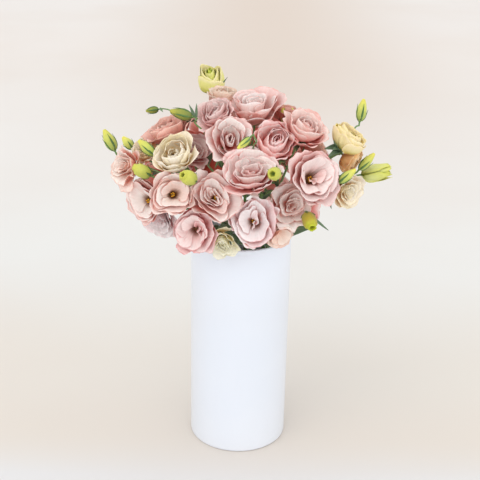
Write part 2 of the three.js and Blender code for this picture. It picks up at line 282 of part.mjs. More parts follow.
    buds: [
      { base: [-104.24, 13.43, 440.89], axis: [-0.9760, -0.1669, -0.1397], radius: 4.21, height: 15.56 },
      { base: [-59.28, -55.55, 451.16], axis: [-0.9652, -0.0017, 0.2614], radius: 6.43, height: 26.44 },
    ],
    leaves: [
      { base: [-24.47, 30.2, 301.2], tip: [-43.4, 62.98, 304.51], normal: [0.04, -0.07, 1], width: 13 },
      { base: [-24.3, 28.65, 323.6], tip: [-53.3, 52.98, 326.91], normal: [0.07, -0.06, 1], width: 13 },
    ],
  },
  {
    name: "stem_back_right",
    color: 0x7f9a6c,
    foot: [45, 0, 6.65],
    axis: [[26.77, 29.73, 282], [25.81, 29.78, 296], [24.86, 29.84, 310], [23.91, 29.89, 324], [22.95, 29.95, 338], [22, 30, 352]],
    stalks: [
      { to: "bloom_back_crown", radius: 1.35, path: [[22, 30, 352], [18.63, 32.64, 360.96], [15.25, 35.29, 369.92], [11.88, 37.93, 378.88], [8.5, 40.58, 387.84], [5.13, 43.23, 396.8], [3.44, 44.56, 401.28], [3.78, 47.92, 407.07]] },
      { to: "bloom_back_centre", radius: 1.35, path: [[22.6, 29.97, 343.25], [18.49, 38.65, 346.41], [14.38, 47.34, 349.56], [10.27, 56.03, 352.71], [6.16, 64.72, 355.87], [2.05, 73.41, 359.01], [0, 77.75, 360.59], [0, 84.31, 361.94]] },
      { to: "bloom_back_right", radius: 1.35, path: [[23.19, 29.93, 334.5], [27.54, 36.23, 338.84], [31.89, 42.54, 343.17], [36.24, 48.85, 347.51], [40.59, 55.15, 351.84], [44.94, 61.46, 356.17], [47.12, 64.62, 358.33], [50.49, 70.21, 359.82]] },
      { to: "bloom_back_low_right", radius: 1.35, path: [[24.38, 29.86, 317], [31.37, 31.41, 316.38], [38.36, 32.95, 315.77], [45.36, 34.49, 315.15], [52.35, 36.03, 314.53], [59.34, 37.58, 313.9], [62.84, 38.35, 313.59], [68.23, 42.19, 312.58]] },
      { to: "bloom_back_low_mid_right", radius: 1.35, path: [[24.38, 29.86, 317], [24.58, 36.76, 318.54], [24.78, 43.65, 320.09], [24.99, 50.55, 321.63], [25.19, 57.45, 323.16], [25.39, 64.35, 324.7], [25.49, 67.79, 325.47], [27.2, 74.13, 324.11]] },
      { to: "bloom_side_right", radius: 1.35, path: [[23.79, 29.9, 325.75], [33.92, 29.68, 330.17], [44.05, 29.47, 334.59], [54.18, 29.25, 339.01], [64.31, 29.04, 343.43], [74.45, 28.82, 347.84], [79.52, 28.72, 350.04], [85.69, 31.26, 350.58]] },
      { to: "bloom_back_top_right", radius: 1.35, path: [[22, 30, 352], [25.93, 32.04, 359.4], [29.86, 34.07, 366.8], [33.79, 36.11, 374.19], [37.73, 38.15, 381.59], [41.66, 40.2, 388.98], [43.63, 41.22, 392.68], [46.32, 45.94, 396.59]] },
    ],
    buds: [
    ],
    leaves: [
      { base: [25.62, 29.79, 298.8], tip: [54.62, 54.12, 302.11], normal: [-0.07, -0.06, 1], width: 13 },
      { base: [24.29, 29.87, 318.4], tip: [43.22, 62.65, 321.71], normal: [-0.04, -0.07, 1], width: 13 },
    ],
  },
];

// ---------------------------------------------------------------- helpers
const V = (p) => new THREE.Vector3(p[0], p[1], p[2]);

// A closed geometry as a solid, turned right side out.
function solid(geometry) {
  const g = geometry.clone();
  for (const key of Object.keys(g.attributes))
    if (key !== "position") g.deleteAttribute(key);
  const m = mergeVertices(g, 1e-4);
  const build = (triVerts) =>
    new Manifold(
      new SolidMesh({
        numProp: 3,
        vertProperties: new Float32Array(m.attributes.position.array),
        triVerts,
      }),
    );
  const tri = new Uint32Array(m.index.array);
  let s = build(tri);
  if (s.volume() < 0) {
    for (let i = 0; i < tri.length; i += 3)
      [tri[i + 1], tri[i + 2]] = [tri[i + 2], tri[i + 1]];
    s = build(tri);
  }
  return s;
}

function geometryOf(s) {
  const m = s.getMesh();
  const n = m.numProp;
  const v = new Float32Array(m.numVert * 3);
  for (let i = 0; i < m.numVert; i++)
    v.set(m.vertProperties.subarray(i * n, i * n + 3), i * 3);
  const g = new THREE.BufferGeometry();
  g.setAttribute("position", new THREE.BufferAttribute(v, 3));
  g.setIndex(new THREE.BufferAttribute(new Uint32Array(m.triVerts), 1));
  g.computeVertexNormals();
  return g;
}

function disc(radius, sides) {
  const shape = new THREE.Shape();
  for (let i = 0; i < sides; i++) {
    const a = (2 * Math.PI * i) / sides;
    const x = radius * Math.cos(a);
    const y = radius * Math.sin(a);
    if (i) shape.lineTo(x, y);
    else shape.moveTo(x, y);
  }
  shape.closePath();
  return shape;
}

// A round stalk along a smooth curve through the points.
function tube(points, radius, sides, steps) {
  const p = points.map(V);
  const path =
    p.length > 2
      ? new THREE.CatmullRomCurve3(p, false, "centripetal")
      : new THREE.LineCurve3(p[0], p[1]);
  return solid(
    new THREE.ExtrudeGeometry(disc(radius, sides), {
      steps,
      bevelEnabled: false,
      extrudePath: path,
    }),
  );
}

// A turned form on its own +Y axis. Lobes pull the outline in between the petals.
function turned(profile, radius, height, sides, lobes, shrink) {
  const pts = profile.map(
    ([r, h]) => new THREE.Vector2(r * radius * shrink, h * height * shrink),
  );
  const g = new THREE.LatheGeometry(pts, sides);
  const pos = g.attributes.position;
  for (let i = 0; i < pos.count; i++) {
    const x = pos.getX(i);
    const z = pos.getZ(i);
    const rho = Math.hypot(x, z);
    if (rho < 1e-6) continue;
    const share = Math.min(1, rho / (0.6 * radius));
    const a = Math.atan2(z, x);
    const k = 1 - LOBE * lobes * share * (0.5 - 0.5 * Math.cos(5 * a));
    pos.setX(i, x * k);
    pos.setZ(i, z * k);
  }
  return g;
}

// The turn that takes a form's own +Y to the given direction.
function standing(axis) {
  return new THREE.Quaternion().setFromUnitVectors(
    new THREE.Vector3(0, 1, 0),
    V(axis).normalize(),
  );
}

// A flat lance-shaped leaf from base to tip.
function leaf(base, tip, normal, width) {
  const b = V(base);
  const along = V(tip).sub(b);
  const length = along.length();
  along.normalize();
  const up = V(normal);
  up.addScaledVector(along, -up.dot(along)).normalize();
  const across = new THREE.Vector3().crossVectors(along, up);
  const half = [
    [0, 0.12],
    [0.3, 0.95],
    [0.65, 0.85],
    [1, 0.05],
  ];
  const shape = new THREE.Shape();
  half.forEach(([t, w], i) => {
    if (i) shape.lineTo(t * length, (w * width) / 2);
    else shape.moveTo(t * length, (w * width) / 2);
  });
  for (const [t, w] of [...half].reverse())
    shape.lineTo(t * length, (-w * width) / 2);
  shape.closePath();
  const g = new THREE.ExtrudeGeometry(shape, {
    depth: LEAF_THICKNESS,
    steps: 1,
    bevelEnabled: false,
  });
  g.translate(0, 0, -LEAF_THICKNESS / 2);
  g.applyMatrix4(
    new THREE.Matrix4().makeBasis(along, across, up).setPosition(b),
  );
  return solid(g);
}

// ---------------------------------------------------------------- the object
const bouquet = new THREE.Group();

function addMesh(name, geometry, material) {
  const mesh = new THREE.Mesh(geometry, material);
  mesh.name = name;
  return mesh;
}

// The vase: one turned wall and floor, flat underneath, with a softly rounded rim.
{
  const R = VASE_RADIUS;
  const r = VASE_RADIUS - VASE_WALL;
  const H = VASE_HEIGHT;
  const profile = [
    [0, 0],
    [R - VASE_FOOT, 0],
    [R - 0.7, 0.7],
    [R, VASE_FOOT],
    [R, H - VASE_LIP],
    [R - 0.5, H - 0.5],
    [R - VASE_LIP, H],
    [r + VASE_LIP, H],
    [r + 0.5, H - 0.5],
    [r, H - VASE_LIP],
    [r, VASE_FLOOR + 4],
    [r - 4, VASE_FLOOR],
    [0, VASE_FLOOR],
  ].map(([x, y]) => new THREE.Vector2(x, y));
  const g = new THREE.LatheGeometry(profile, VASE_SIDES);
  g.rotateX(Math.PI / 2);
  bouquet.add(
    addMesh(
      "vase",
      geometryOf(solid(g)),
      new THREE.MeshStandardMaterial({
        color: 0xf1f4f8,
        roughness: 0.25,
        metalness: 0,
      }),
    ),
  );
}

// The stems: a straight cut stem leaning in the vase, a branching axis above the rim, stalks, small closed buds and leaves, all one plant.
const stemMaterial = (c) =>
  new THREE.MeshStandardMaterial({ color: c, roughness: 0.6, metalness: 0 });
for (const s of STEMS) {
  const foot = V(s.foot);
  const mouth = V(s.axis[0]);
  const lean = mouth.clone().sub(foot).normalize();
  const top = mouth.clone().addScaledVector(lean, 2.5);
  let body = tube(
    [foot.toArray(), top.toArray()],
    STEM_RADIUS,
    STEM_SIDES,
    1,
  );
  const start = mouth.clone().addScaledVector(lean, -3);
  body = body.add(
    tube([start.toArray(), ...s.axis.slice(1)], AXIS_RADIUS, STEM_SIDES, 5),
  );
  for (const stalk of s.stalks)
    body = body.add(
      tube(stalk.path, stalk.radius, STALK_SIDES, stalk.steps ?? STALK_STEPS),
    );
  for (const b of s.buds) {
    const g = turned(BUD_PROFILE, b.radius, b.height, BUD_SIDES, 0, BUD_SHRINK);
    g.applyMatrix4(
      new THREE.Matrix4().compose(
        V(b.base),
        standing(b.axis),
        new THREE.Vector3(1, 1, 1),
      ),
    );
    body = body.add(solid(g));
  }
  for (const l of s.leaves)
    body = body.add(leaf(l.base, l.tip, l.normal, l.width));
  bouquet.add(addMesh(s.name, geometryOf(body), stemMaterial(s.color)));
}

// The blooms and buds stand on the ends of their stalks.
function stand(item, profile, sides, lobes, shrink) {
  const g = turned(profile, item.radius, item.height, sides, lobes, shrink);
  const mesh = addMesh(
    item.name,
    geometryOf(solid(g)),
    new THREE.MeshStandardMaterial({
      color: item.color,
      roughness: 0.7,
      metalness: 0,
    }),
  );
  mesh.position.copy(V(item.base));
  mesh.quaternion.copy(standing(item.axis));
  bouquet.add(mesh);
}
for (const b of BLOOMS) stand(b, CUP_PROFILE, BLOOM_SIDES, 1, BLOOM_SHRINK);
for (const b of BUDS)
  stand(
    b,
    b.opening ? OPENING_PROFILE : BUD_PROFILE,
    b.opening ? 10 : BUD_SIDES,
    0,
    BUD_SHRINK,
  );

export default bouquet;
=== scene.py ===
import json
import math

import bpy
import numpy as np
from mathutils import Matrix, Vector
from mathutils.bvhtree import BVHTree

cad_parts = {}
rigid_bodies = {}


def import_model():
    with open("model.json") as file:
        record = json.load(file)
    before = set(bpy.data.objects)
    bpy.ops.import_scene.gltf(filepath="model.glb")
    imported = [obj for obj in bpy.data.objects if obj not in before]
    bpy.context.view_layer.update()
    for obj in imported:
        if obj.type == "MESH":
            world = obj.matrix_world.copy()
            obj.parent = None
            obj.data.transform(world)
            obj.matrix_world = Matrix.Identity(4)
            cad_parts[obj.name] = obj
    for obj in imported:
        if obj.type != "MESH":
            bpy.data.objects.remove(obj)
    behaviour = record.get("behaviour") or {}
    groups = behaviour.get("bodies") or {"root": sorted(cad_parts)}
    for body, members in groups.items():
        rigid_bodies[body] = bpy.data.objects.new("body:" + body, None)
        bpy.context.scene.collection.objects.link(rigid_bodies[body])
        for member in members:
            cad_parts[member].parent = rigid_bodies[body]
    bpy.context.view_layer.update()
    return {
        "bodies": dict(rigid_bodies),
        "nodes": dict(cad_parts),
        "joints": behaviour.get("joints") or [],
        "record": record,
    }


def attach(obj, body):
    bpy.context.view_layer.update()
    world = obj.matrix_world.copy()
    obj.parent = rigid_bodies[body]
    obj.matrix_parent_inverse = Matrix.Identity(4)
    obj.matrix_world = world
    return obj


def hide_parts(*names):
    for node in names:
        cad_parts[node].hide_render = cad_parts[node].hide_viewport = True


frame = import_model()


# ------------------------------------------------------------------ small helpers
MM = 0.001


def unit(v):
    v = np.asarray(v, float)
    return v / (np.linalg.norm(v) + 1e-12)


def smooth(a, b, x):
    t = np.clip((np.asarray(x, float) - a) / (b - a), 0, 1)
    return t * t * (3 - 2 * t)


def bezier(p, s):
    """Point and slope of a cubic through the four (r, z) pairs at s."""
    a = 1 - s
    w = (a**3, 3 * a * a * s, 3 * a * s * s, s**3)
    d = (-3 * a * a, 3 * a * a - 6 * a * s, 6 * a * s - 3 * s * s, 3 * s * s)
    r = sum(w[i] * p[i][0] for i in range(4))
    z = sum(w[i] * p[i][1] for i in range(4))
    dr = sum(d[i] * p[i][0] for i in range(4))
    dz = sum(d[i] * p[i][1] for i in range(4))
    return r, z, dr, dz


def frame_of(axis, turn=0.0):
    """A 3x3 whose third column is the axis; turn spins the other two about it."""
    n = unit(axis)
    h = np.array([0.0, 0.0, 1.0]) if abs(n[2]) < 0.92 else np.array([0.0, 1.0, 0.0])
    x = unit(np.cross(h, n))
    y = np.cross(n, x)
    c, s = math.cos(turn), math.sin(turn)
    return np.stack([c * x + s * y, -s * x + c * y, n], 1)


def grid_normals(P):
    du = np.gradient(P, axis=0)
    dv = np.gradient(P, axis=1)
    n = np.cross(du, dv)
    return n / (np.linalg.norm(n, axis=2, keepdims=True) + 1e-12)


def spline(points, count):
    """Centripetal Catmull-Rom through the points, resampled to even steps."""
    P = np.asarray(points, float)
    if len(P) == 2:
        return P[0] + (P[1] - P[0]) * np.linspace(0, 1, count)[:, None]
    P = np.vstack([2 * P[0] - P[1], P, 2 * P[-1] - P[-2]])
    out = []
    for i in range(1, len(P) - 2):
        p0, p1, p2, p3 = P[i - 1 : i + 3]
        t1 = np.linalg.norm(p1 - p0) ** 0.5
        t2 = t1 + np.linalg.norm(p2 - p1) ** 0.5
        t3 = t2 + np.linalg.norm(p3 - p2) ** 0.5
        t = np.linspace(t1, t2, 24, endpoint=False)[:, None]
        a1 = (t1 - t) / t1 * p0 + t / t1 * p1
        a2 = (t2 - t) / (t2 - t1) * p1 + (t - t1) / (t2 - t1) * p2
        a3 = (t3 - t) / (t3 - t2) * p2 + (t - t2) / (t3 - t2) * p3
        b1 = (t2 - t) / t2 * a1 + t / t2 * a2
        b2 = (t3 - t) / (t3 - t1) * a2 + (t - t1) / (t3 - t1) * a3
        out.append((t2 - t) / (t2 - t1) * b1 + (t - t1) / (t2 - t1) * b2)
    C = np.vstack(out + [P[-2:-1]])
    d = np.r_[0, np.cumsum(np.linalg.norm(np.diff(C, axis=0), axis=1))]
    s = np.linspace(0, d[-1], count)
    return np.stack([np.interp(s, d, C[:, k]) for k in range(3)], 1)


class Build:
    """Collects closed bodies with per-point values, and turns them into one mesh object."""

    KEYS = ("along", "across", "layer", "shade", "face", "tuck")

    def __init__(self):
        self.v, self.f, self.mat, self.flat, self.uv, self.n = [], [], [], [], [], 0
        self.a = {k: [] for k in self.KEYS}
        self.cells = 0

    def _add(self, V, F, mat, flat, vals, uv=None):
        F = np.asarray(F, np.int64)
        self.v.append(V)
        self.f.append(F + self.n)
        self.mat.append(np.full(len(F), mat, np.int32))
        self.flat.append(flat)
        for k in self.KEYS:
            x = vals.get(k, 0.0)
            self.a[k].append(np.broadcast_to(np.asarray(x, float), (len(V),)).copy())
        self.uv.append(uv if uv is not None else np.full((len(F), 4, 2), -1.0))
        self.n += len(V)

    def sheet(self, P, thick, vals, mat=0, normals=None):
        """A thin closed body on both sides of the grid P (rows, columns, xyz); thick may vary over the grid."""
        m, n = P.shape[:2]
        N = grid_normals(P) if normals is None else normals
        th = np.broadcast_to(np.asarray(thick, float), (m, n))[..., None] / 2
        V = np.concatenate([(P + N * th).reshape(-1, 3), (P - N * th).reshape(-1, 3)])
        idx = np.arange(m * n).reshape(m, n)
        a, b, c, d = idx[:-1, :-1], idx[:-1, 1:], idx[1:, 1:], idx[1:, :-1]
        top = np.stack([d, c, b, a], -1).reshape(-1, 4)[:, ::-1]
        # rows run along du and columns along dv, and du x dv is N, so the order is a, d, c, b
        top = np.stack([a, d, c, b], -1).reshape(-1, 4)
        bot = np.stack([a, b, c, d], -1).reshape(-1, 4) + m * n
        ring = np.concatenate(
            [idx[0, :-1], idx[:-1, -1], idx[-1, :0:-1], idx[:0:-1, 0]]
        )
        nxt = np.roll(ring, -1)
        side = np.stack([ring, nxt, nxt + m * n, ring + m * n], -1)
        F = np.concatenate([top, bot, side])
        flat = np.zeros(len(F), bool)
        flat[len(top) + len(bot) :] = True
        full = {}
        for k, x in vals.items():
            two = x if isinstance(x, tuple) else (x, x)
            full[k] = np.concatenate([np.broadcast_to(np.asarray(y, float), (m, n)).reshape(-1) for y in two])
        full["face"] = np.concatenate([np.zeros(m * n), np.ones(m * n)])
        # each side has a rectangle of its own on the map
        uu, vv = np.meshgrid(np.linspace(0, 1, m), np.linspace(0, 1, n), indexing="ij")
        q = np.stack([uu, vv], -1).reshape(-1, 2)
        cell = self.cells
        self.cells += 2
        uv = np.zeros((len(F), 4, 2))
        uv[: len(top)] = q[top] + [2 * cell, 0]
        uv[len(top) : len(top) + len(bot)] = q[bot - m * n] + [2 * cell + 2, 0]
        uv[len(top) + len(bot) :] = q[side % (m * n)] + [2 * cell, 0]
        self._add(V, F, mat, flat, full, uv)

    def tube(self, C, rad, sides=8, vals=None, mat=0, squash=None, phase=0.0):
        """A round stalk along the points C, closed at both ends; rad may vary along it."""
        C = np.asarray(C, float)
        m = len(C)
        rad = np.broadcast_to(np.asarray(rad, float), (m,))
        T = np.gradient(C, axis=0)
        T /= np.linalg.norm(T, axis=1, keepdims=True) + 1e-12
        u = np.cross(T[0], [0.31, 0.17, 0.93])
        u = unit(u)
        U = []
        for i in range(m):
            u = u - T[i] * (u @ T[i])
            u = unit(u)
            U.append(u)
        U = np.array(U)
        W = np.cross(T, U)
        th = phase + 2 * np.pi * np.arange(sides) / sides
        ring = (
            U[:, None] * np.cos(th)[None, :, None] + W[:, None] * np.sin(th)[None, :, None]
        )
        P = C[:, None] + ring * rad[:, None, None]
        V = np.concatenate([P.reshape(-1, 3), C[:1], C[-1:]])
        i0 = np.arange(m * sides).reshape(m, sides)
        j = np.roll(i0, -1, 1)
        F = np.stack([i0[:-1], j[:-1], j[1:], i0[1:]], -1).reshape(-1, 4)
        s0, s1 = m * sides, m * sides + 1
        c0 = np.stack([j[0], i0[0], np.full(sides, s0), np.full(sides, s0)], -1)
        c1 = np.stack([i0[-1], j[-1], np.full(sides, s1), np.full(sides, s1)], -1)
        F = np.concatenate([F, c0, c1])
        flat = np.zeros(len(F), bool)
        al = np.repeat(np.linspace(0, 1, m), sides)
        full = {"along": np.concatenate([al, [0, 1]])}
        for k, x in (vals or {}).items():
            full[k] = x if np.ndim(x) == 0 else np.concatenate([np.repeat(x, sides), [x[0], x[-1]]])
        cell = self.cells
        self.cells += 2
        uu = np.repeat(np.linspace(0, 1, m), sides).reshape(m, sides)
        vq = np.tile(np.arange(sides) / sides, (m, 1))
        q = np.stack([uu, vq], -1)
        qn = np.stack([uu, vq + 1.0 / sides], -1)
        uv = np.zeros((len(F), 4, 2))
        body = np.stack([q[:-1], qn[:-1], qn[1:], q[1:]], 2).reshape(-1, 4, 2)
        uv[: len(body)] = body + [2 * cell, 0]
        e0 = np.stack([qn[0], q[0], q[0], q[0]], 1)
        e1 = np.stack([q[-1], qn[-1], q[-1], q[-1]], 1)
        uv[len(body) :] = np.concatenate([e0, e1]) + [2 * cell, 0]
        self._add(V, F, mat, flat, full, uv)

    def lathe(self, prof, sides, origin, frame, vals=None, mat=0, wob=None):
        """A turned closed form: prof is (r, z) from the axis to the axis; wob(theta, z) scales the radius."""
        prof = np.asarray(prof, float)
        m = len(prof)
        th = 2 * np.pi * np.arange(sides) / sides
        r = prof[1:-1, 0][:, None] * np.ones(sides)
        z = prof[1:-1, 1][:, None] * np.ones(sides)
        if wob is not None:
            r = r * wob(th[None, :], z)
        P = np.stack([r * np.cos(th), r * np.sin(th), z], -1)
        V = np.concatenate([P.reshape(-1, 3), [[0, 0, prof[0, 1]], [0, 0, prof[-1, 1]]]])
        V = V @ np.asarray(frame).T + np.asarray(origin)
        mm = m - 2
        i0 = np.arange(mm * sides).reshape(mm, sides)
        j = np.roll(i0, -1, 1)
        F = np.stack([i0[:-1], j[:-1], j[1:], i0[1:]], -1).reshape(-1, 4)
        s0, s1 = mm * sides, mm * sides + 1
        c0 = np.stack([j[0], i0[0], np.full(sides, s0), np.full(sides, s0)], -1)
        c1 = np.stack([i0[-1], j[-1], np.full(sides, s1), np.full(sides, s1)], -1)
        F = np.concatenate([F, c0, c1])
        h = (prof[1:-1, 1] - prof[:, 1].min()) / (np.ptp(prof[:, 1]) + 1e-12)
        full = {"along": np.concatenate([np.repeat(h, sides), [0, 1]])}
        for k, x in (vals or {}).items():
            full[k] = x
        cell = self.cells
        self.cells += 2
        uu = np.repeat(np.linspace(0, 1, mm), sides).reshape(mm, sides)
        vq = np.tile(np.arange(sides) / sides, (mm, 1))
        q = np.stack([uu, vq], -1)
        qn = np.stack([uu, vq + 1.0 / sides], -1)
        uv = np.zeros((len(F), 4, 2))
        body = np.stack([q[:-1], qn[:-1], qn[1:], q[1:]], 2).reshape(-1, 4, 2)
        uv[: len(body)] = body + [2 * cell, 0]
        e0 = np.stack([qn[0], q[0], q[0], q[0]], 1)
        e1 = np.stack([q[-1], qn[-1], q[-1], q[-1]], 1)
        uv[len(body) :] = np.concatenate([e0, e1]) + [2 * cell, 0]
        self._add(V, F, mat, np.zeros(len(F), bool), full, uv)

    def points(self):
        return np.concatenate(self.v)

    def make(self, name, materials, points=None):
        V = self.points() if points is None else points
        F = np.concatenate(self.f)
        mat = np.concatenate(self.mat)
        flat = np.concatenate(self.flat)
        UV = np.concatenate(self.uv)
        # the map: one square cell for each side of each body
        cells = max(1, self.cells)
        per = int(math.ceil(math.sqrt(cells)))
        cell = np.floor(UV[:, :, 0].min(1) / 2 + 1e-9)
        local = UV - np.stack([2 * cell, np.zeros_like(cell)], -1)[:, None, :]
        gx, gy = cell % per, np.floor(cell / per)
        pad = 0.06
        U = (np.stack([gx, gy], -1)[:, None, :] + pad + (1 - 2 * pad) * local) / per
        tri = F[:, 2] == F[:, 3]
        me = bpy.data.meshes.new(name)
        loops = np.where(tri[:, None], np.array([True, True, True, False]), True)
        counts = np.where(tri, 3, 4)
        li = F[loops]
        me.vertices.add(len(V))
        me.vertices.foreach_set("co", np.ascontiguousarray(V, np.float32).ravel())
        me.loops.add(len(li))
        me.loops.foreach_set("vertex_index", li.astype(np.int32))
        me.polygons.add(len(F))
        me.polygons.foreach_set(
            "loop_start", np.r_[0, np.cumsum(counts)[:-1]].astype(np.int32)
        )
        me.polygons.foreach_set("material_index", mat)
        me.update(calc_edges=True)
        if flat.any():
            at = me.attributes.new("sharp_face", "BOOLEAN", "FACE")
            at.data.foreach_set("value", flat)
        layer = me.uv_layers.new(name="UVMap")
        layer.data.foreach_set("uv", U[loops].astype(np.float32).ravel())
        for k in self.KEYS:
            at = me.attributes.new(k, "FLOAT", "POINT")
            at.data.foreach_set("value", np.concatenate(self.a[k]).astype(np.float32))
        for m in materials:
            me.materials.append(m)
        me.validate()
        me.update()
        ob = bpy.data.objects.new(name, me)
        bpy.context.scene.collection.objects.link(ob)
        return ob




# ------------------------------------------------------------------ blooms
def bloom_field(rng):
    """Waves shared by all of a bloom's petals, so that neighbouring layers nest."""
    ns = np.array([2, 3, 4, 5, 7])
    amp = np.array([0.40, 0.42, 0.34, 0.30, 0.20])
    amp = amp * rng.uniform(0.5, 1.25, len(ns))
    ph = rng.uniform(0, 2 * np.pi, len(ns))
    ka = rng.uniform(-3.2, 3.2, len(ns))

    def field(th, s, layer):
        d = np.zeros_like(th)
        for n, a, p, k in zip(ns, amp, ph, ka):
            d = d + a * np.sin(n * th + p + k * layer + 1.2 * s)
        return d

    return field


def petal(b, rng, q):
    """One petal in the bloom's own frame. q holds its numbers, lengths in shares of the radius."""
    nu, nv = q["nu"], q["nv"]
    # rows closer together towards the rim, where the petal curls
    u = (1 - (1 - np.linspace(0, 1, nu + 1)) ** 1.3)[:, None]
    t = np.linspace(-1, 1, nv + 1)
    t = (0.80 * t + 0.20 * np.sin(0.5 * np.pi * t))[None, :]
    at = np.abs(t)
    ph = rng.uniform(0, 2 * np.pi, 12)
    rag = q["rag"] * (
        0.6 * np.sin(3.1 * t + ph[0])
        + 0.5 * np.sin(6.3 * t + ph[1])
        + 0.4 * np.sin(11.7 * t + ph[2])
        + 0.3 * np.sin(19.0 * t + ph[3])
    )
    smax = 1 - q["side"] * at**2.2 - q["corner"] * at**6 + rag
    smax = smax - q.get("point", 0.0) * at**1.3
    smax = smax - q["notch"] * np.exp(-(((t - q["nick"]) / 0.13) ** 2))
    s = u * np.maximum(smax, 0.25)
    r, z, dr, dz = bezier(q["P"], s)
    ln = np.sqrt(dr * dr + dz * dz) + 1e-9
    nr, nz = dz / ln, -dr / ln
    W = 0.40 + 0.60 * smooth(0.0, 0.80, s)
    th = q["th"] + q["w"] * t * W + q["twist"] * s
    edge = u ** 6
    d = q["spiral"] * t * smooth(0.1, 0.8, s)
    d = d + q["flare"] * at**2.2 * s**1.5
    d = d + b["field"](th, s, q["layer"]) * s**1.7 * b["wave"] * q["small"]
    # broad swells of the blade, then the waved rim, then its small crimps
    broad = 0.75 * np.sin(q["k1"] * t + ph[4]) + 0.45 * np.sin(1.7 * q["k1"] * t + ph[5] + 2.0 * s)
    d = d + q["own"] * broad * s**2.4
    d = d + q["ripple"] * np.sin(q["k2"] * t + ph[6] + 1.5 * s) * (0.55 + 0.45 * np.sin(2.6 * t + ph[7])) * u**4
    d = d + q["frill"] * np.sin(q["k3"] * t + ph[8]) * edge * (0.5 + 0.5 * np.sin(3.4 * t + ph[9]))
    # fine pleats that fan out from the base
    d = d + 0.0045 * np.sin(21.0 * t + ph[11]) * np.sin(np.pi * np.clip(s, 0, 1)) ** 0.7
    # a long soft fold down the blade
    d = d + q["fold"] * np.exp(-(((t - q["fold_at"]) / 0.26) ** 2)) * smooth(0.2, 0.9, s)
    # one corner turns out or in
    cr = np.clip((t * q["curl_side"] - 0.35) / 0.65, 0, 1) ** 1.6
    d = d + q["curl"] * cr * s**2
    # a rolled rim
    e = np.clip((s - 0.74) / 0.26, 0, 1)
    roll = q["roll"] * (0.60 + 0.65 * np.sin(1.9 * t + ph[10])) * e**2
    r2 = r + d * nr + roll
    z2 = z + d * nz - 0.75 * roll * e
    r2 = np.where(r2 < 0.012, 0.012 + 0.15 * np.abs(r2 - 0.012), r2)
    P = np.stack([r2 * np.cos(th), r2 * np.sin(th), z2], -1)
    vals = dict(along=u + 0 * t, across=t + 0 * s, layer=q["layer"], shade=rng.uniform())
    return P, vals


def blend(stops, f):
    """Straight blend between (f, values) stops."""
    xs = [a for a, _ in stops]
    vs = np.array([v for _, v in stops], float)
    return [float(np.interp(f, xs, vs[:, i])) for i in range(vs.shape[1])]


# the middle line of a petal: r1 z1 r2 z2 r3 z3 of its curve from (0.03, 0.03), and the half angle it spans
FORMS = {
    # a full flower, heart wound tight in a dip, outer petals leaning out
    "spiral": [
        (0.00, (0.13, 0.22, 0.16, 0.58, 0.06, 0.80, 2.3)),
        (0.18, (0.24, 0.18, 0.30, 0.66, 0.17, 0.89, 1.90)),
        (0.36, (0.34, 0.13, 0.45, 0.68, 0.35, 0.965, 1.45)),
        (0.52, (0.40, 0.10, 0.58, 0.64, 0.53, 1.00, 1.30)),
        (0.70, (0.42, 0.07, 0.70, 0.58, 0.74, 0.98, 1.14)),
        (0.86, (0.42, 0.05, 0.80, 0.50, 0.92, 0.90, 1.04)),
        (1.00, (0.40, 0.04, 0.84, 0.44, 1.04, 0.80, 0.95)),
    ],
    # a closed ball: petals curve over the middle
    "ball": [
        (0.00, (0.16, 0.22, 0.20, 0.66, 0.05, 0.86, 2.2)),
        (0.25, (0.36, 0.14, 0.42, 0.72, 0.20, 0.95, 1.8)),
        (0.50, (0.54, 0.08, 0.66, 0.66, 0.43, 0.99, 1.50)),
        (0.75, (0.62, 0.05, 0.88, 0.56, 0.72, 0.99, 1.28)),
        (1.00, (0.60, 0.03, 1.00, 0.46, 1.00, 0.88, 1.04)),
    ],
    # heart petals lean out round a rosy hollow
    "semi": [
        (0.00, (0.10, 0.26, 0.16, 0.60, 0.14, 0.80, 1.45)),
        (0.18, (0.18, 0.20, 0.28, 0.64, 0.28, 0.88, 1.35)),
        (0.36, (0.28, 0.14, 0.42, 0.66, 0.45, 0.97, 1.40)),
        (0.55, (0.36, 0.10, 0.56, 0.62, 0.60, 1.00, 1.22)),
        (0.75, (0.40, 0.06, 0.70, 0.55, 0.80, 0.96, 1.10)),
        (1.00, (0.40, 0.04, 0.84, 0.44, 1.04, 0.80, 0.96)),
    ],
    # wide open: a funnel throat, broad faces, a few folded petals inside
    "open": [
        (0.00, (0.06, 0.30, 0.14, 0.58, 0.26, 0.78, 0.62)),
        (0.14, (0.08, 0.26, 0.20, 0.62, 0.40, 0.86, 0.70)),
        (0.28, (0.12, 0.20, 0.30, 0.62, 0.60, 0.92, 1.42)),
        (0.55, (0.22, 0.12, 0.48, 0.58, 0.76, 0.95, 1.18)),
        (0.80, (0.32, 0.07, 0.66, 0.52, 0.93, 0.88, 1.04)),
        (1.00, (0.38, 0.04, 0.82, 0.44, 1.04, 0.80, 0.95)),
    ],
    # a bud that has begun to open
    "cup": [
        (0.00, (0.20, 0.10, 0.30, 0.60, 0.07, 0.86, 2.2)),
        (0.30, (0.46, 0.06, 0.56, 0.66, 0.30, 0.92, 1.7)),
        (0.60, (0.78, 0.04, 0.86, 0.62, 0.50, 0.97, 1.4)),
        (1.00, (0.96, 0.02, 1.10, 0.64, 0.80, 0.95, 1.15)),
    ],
}
FORMS["egg"] = [
    (0.00, (0.30, 0.10, 0.34, 0.70, 0.05, 0.93, 2.8)),
    (0.30, (0.55, 0.05, 0.62, 0.72, 0.36, 0.985, 2.3)),
    (0.62, (0.85, 0.02, 0.90, 0.58, 0.55, 0.94, 1.60)),
    (1.00, (1.00, 0.00, 1.14, 0.52, 0.74, 0.96, 1.45)),
]
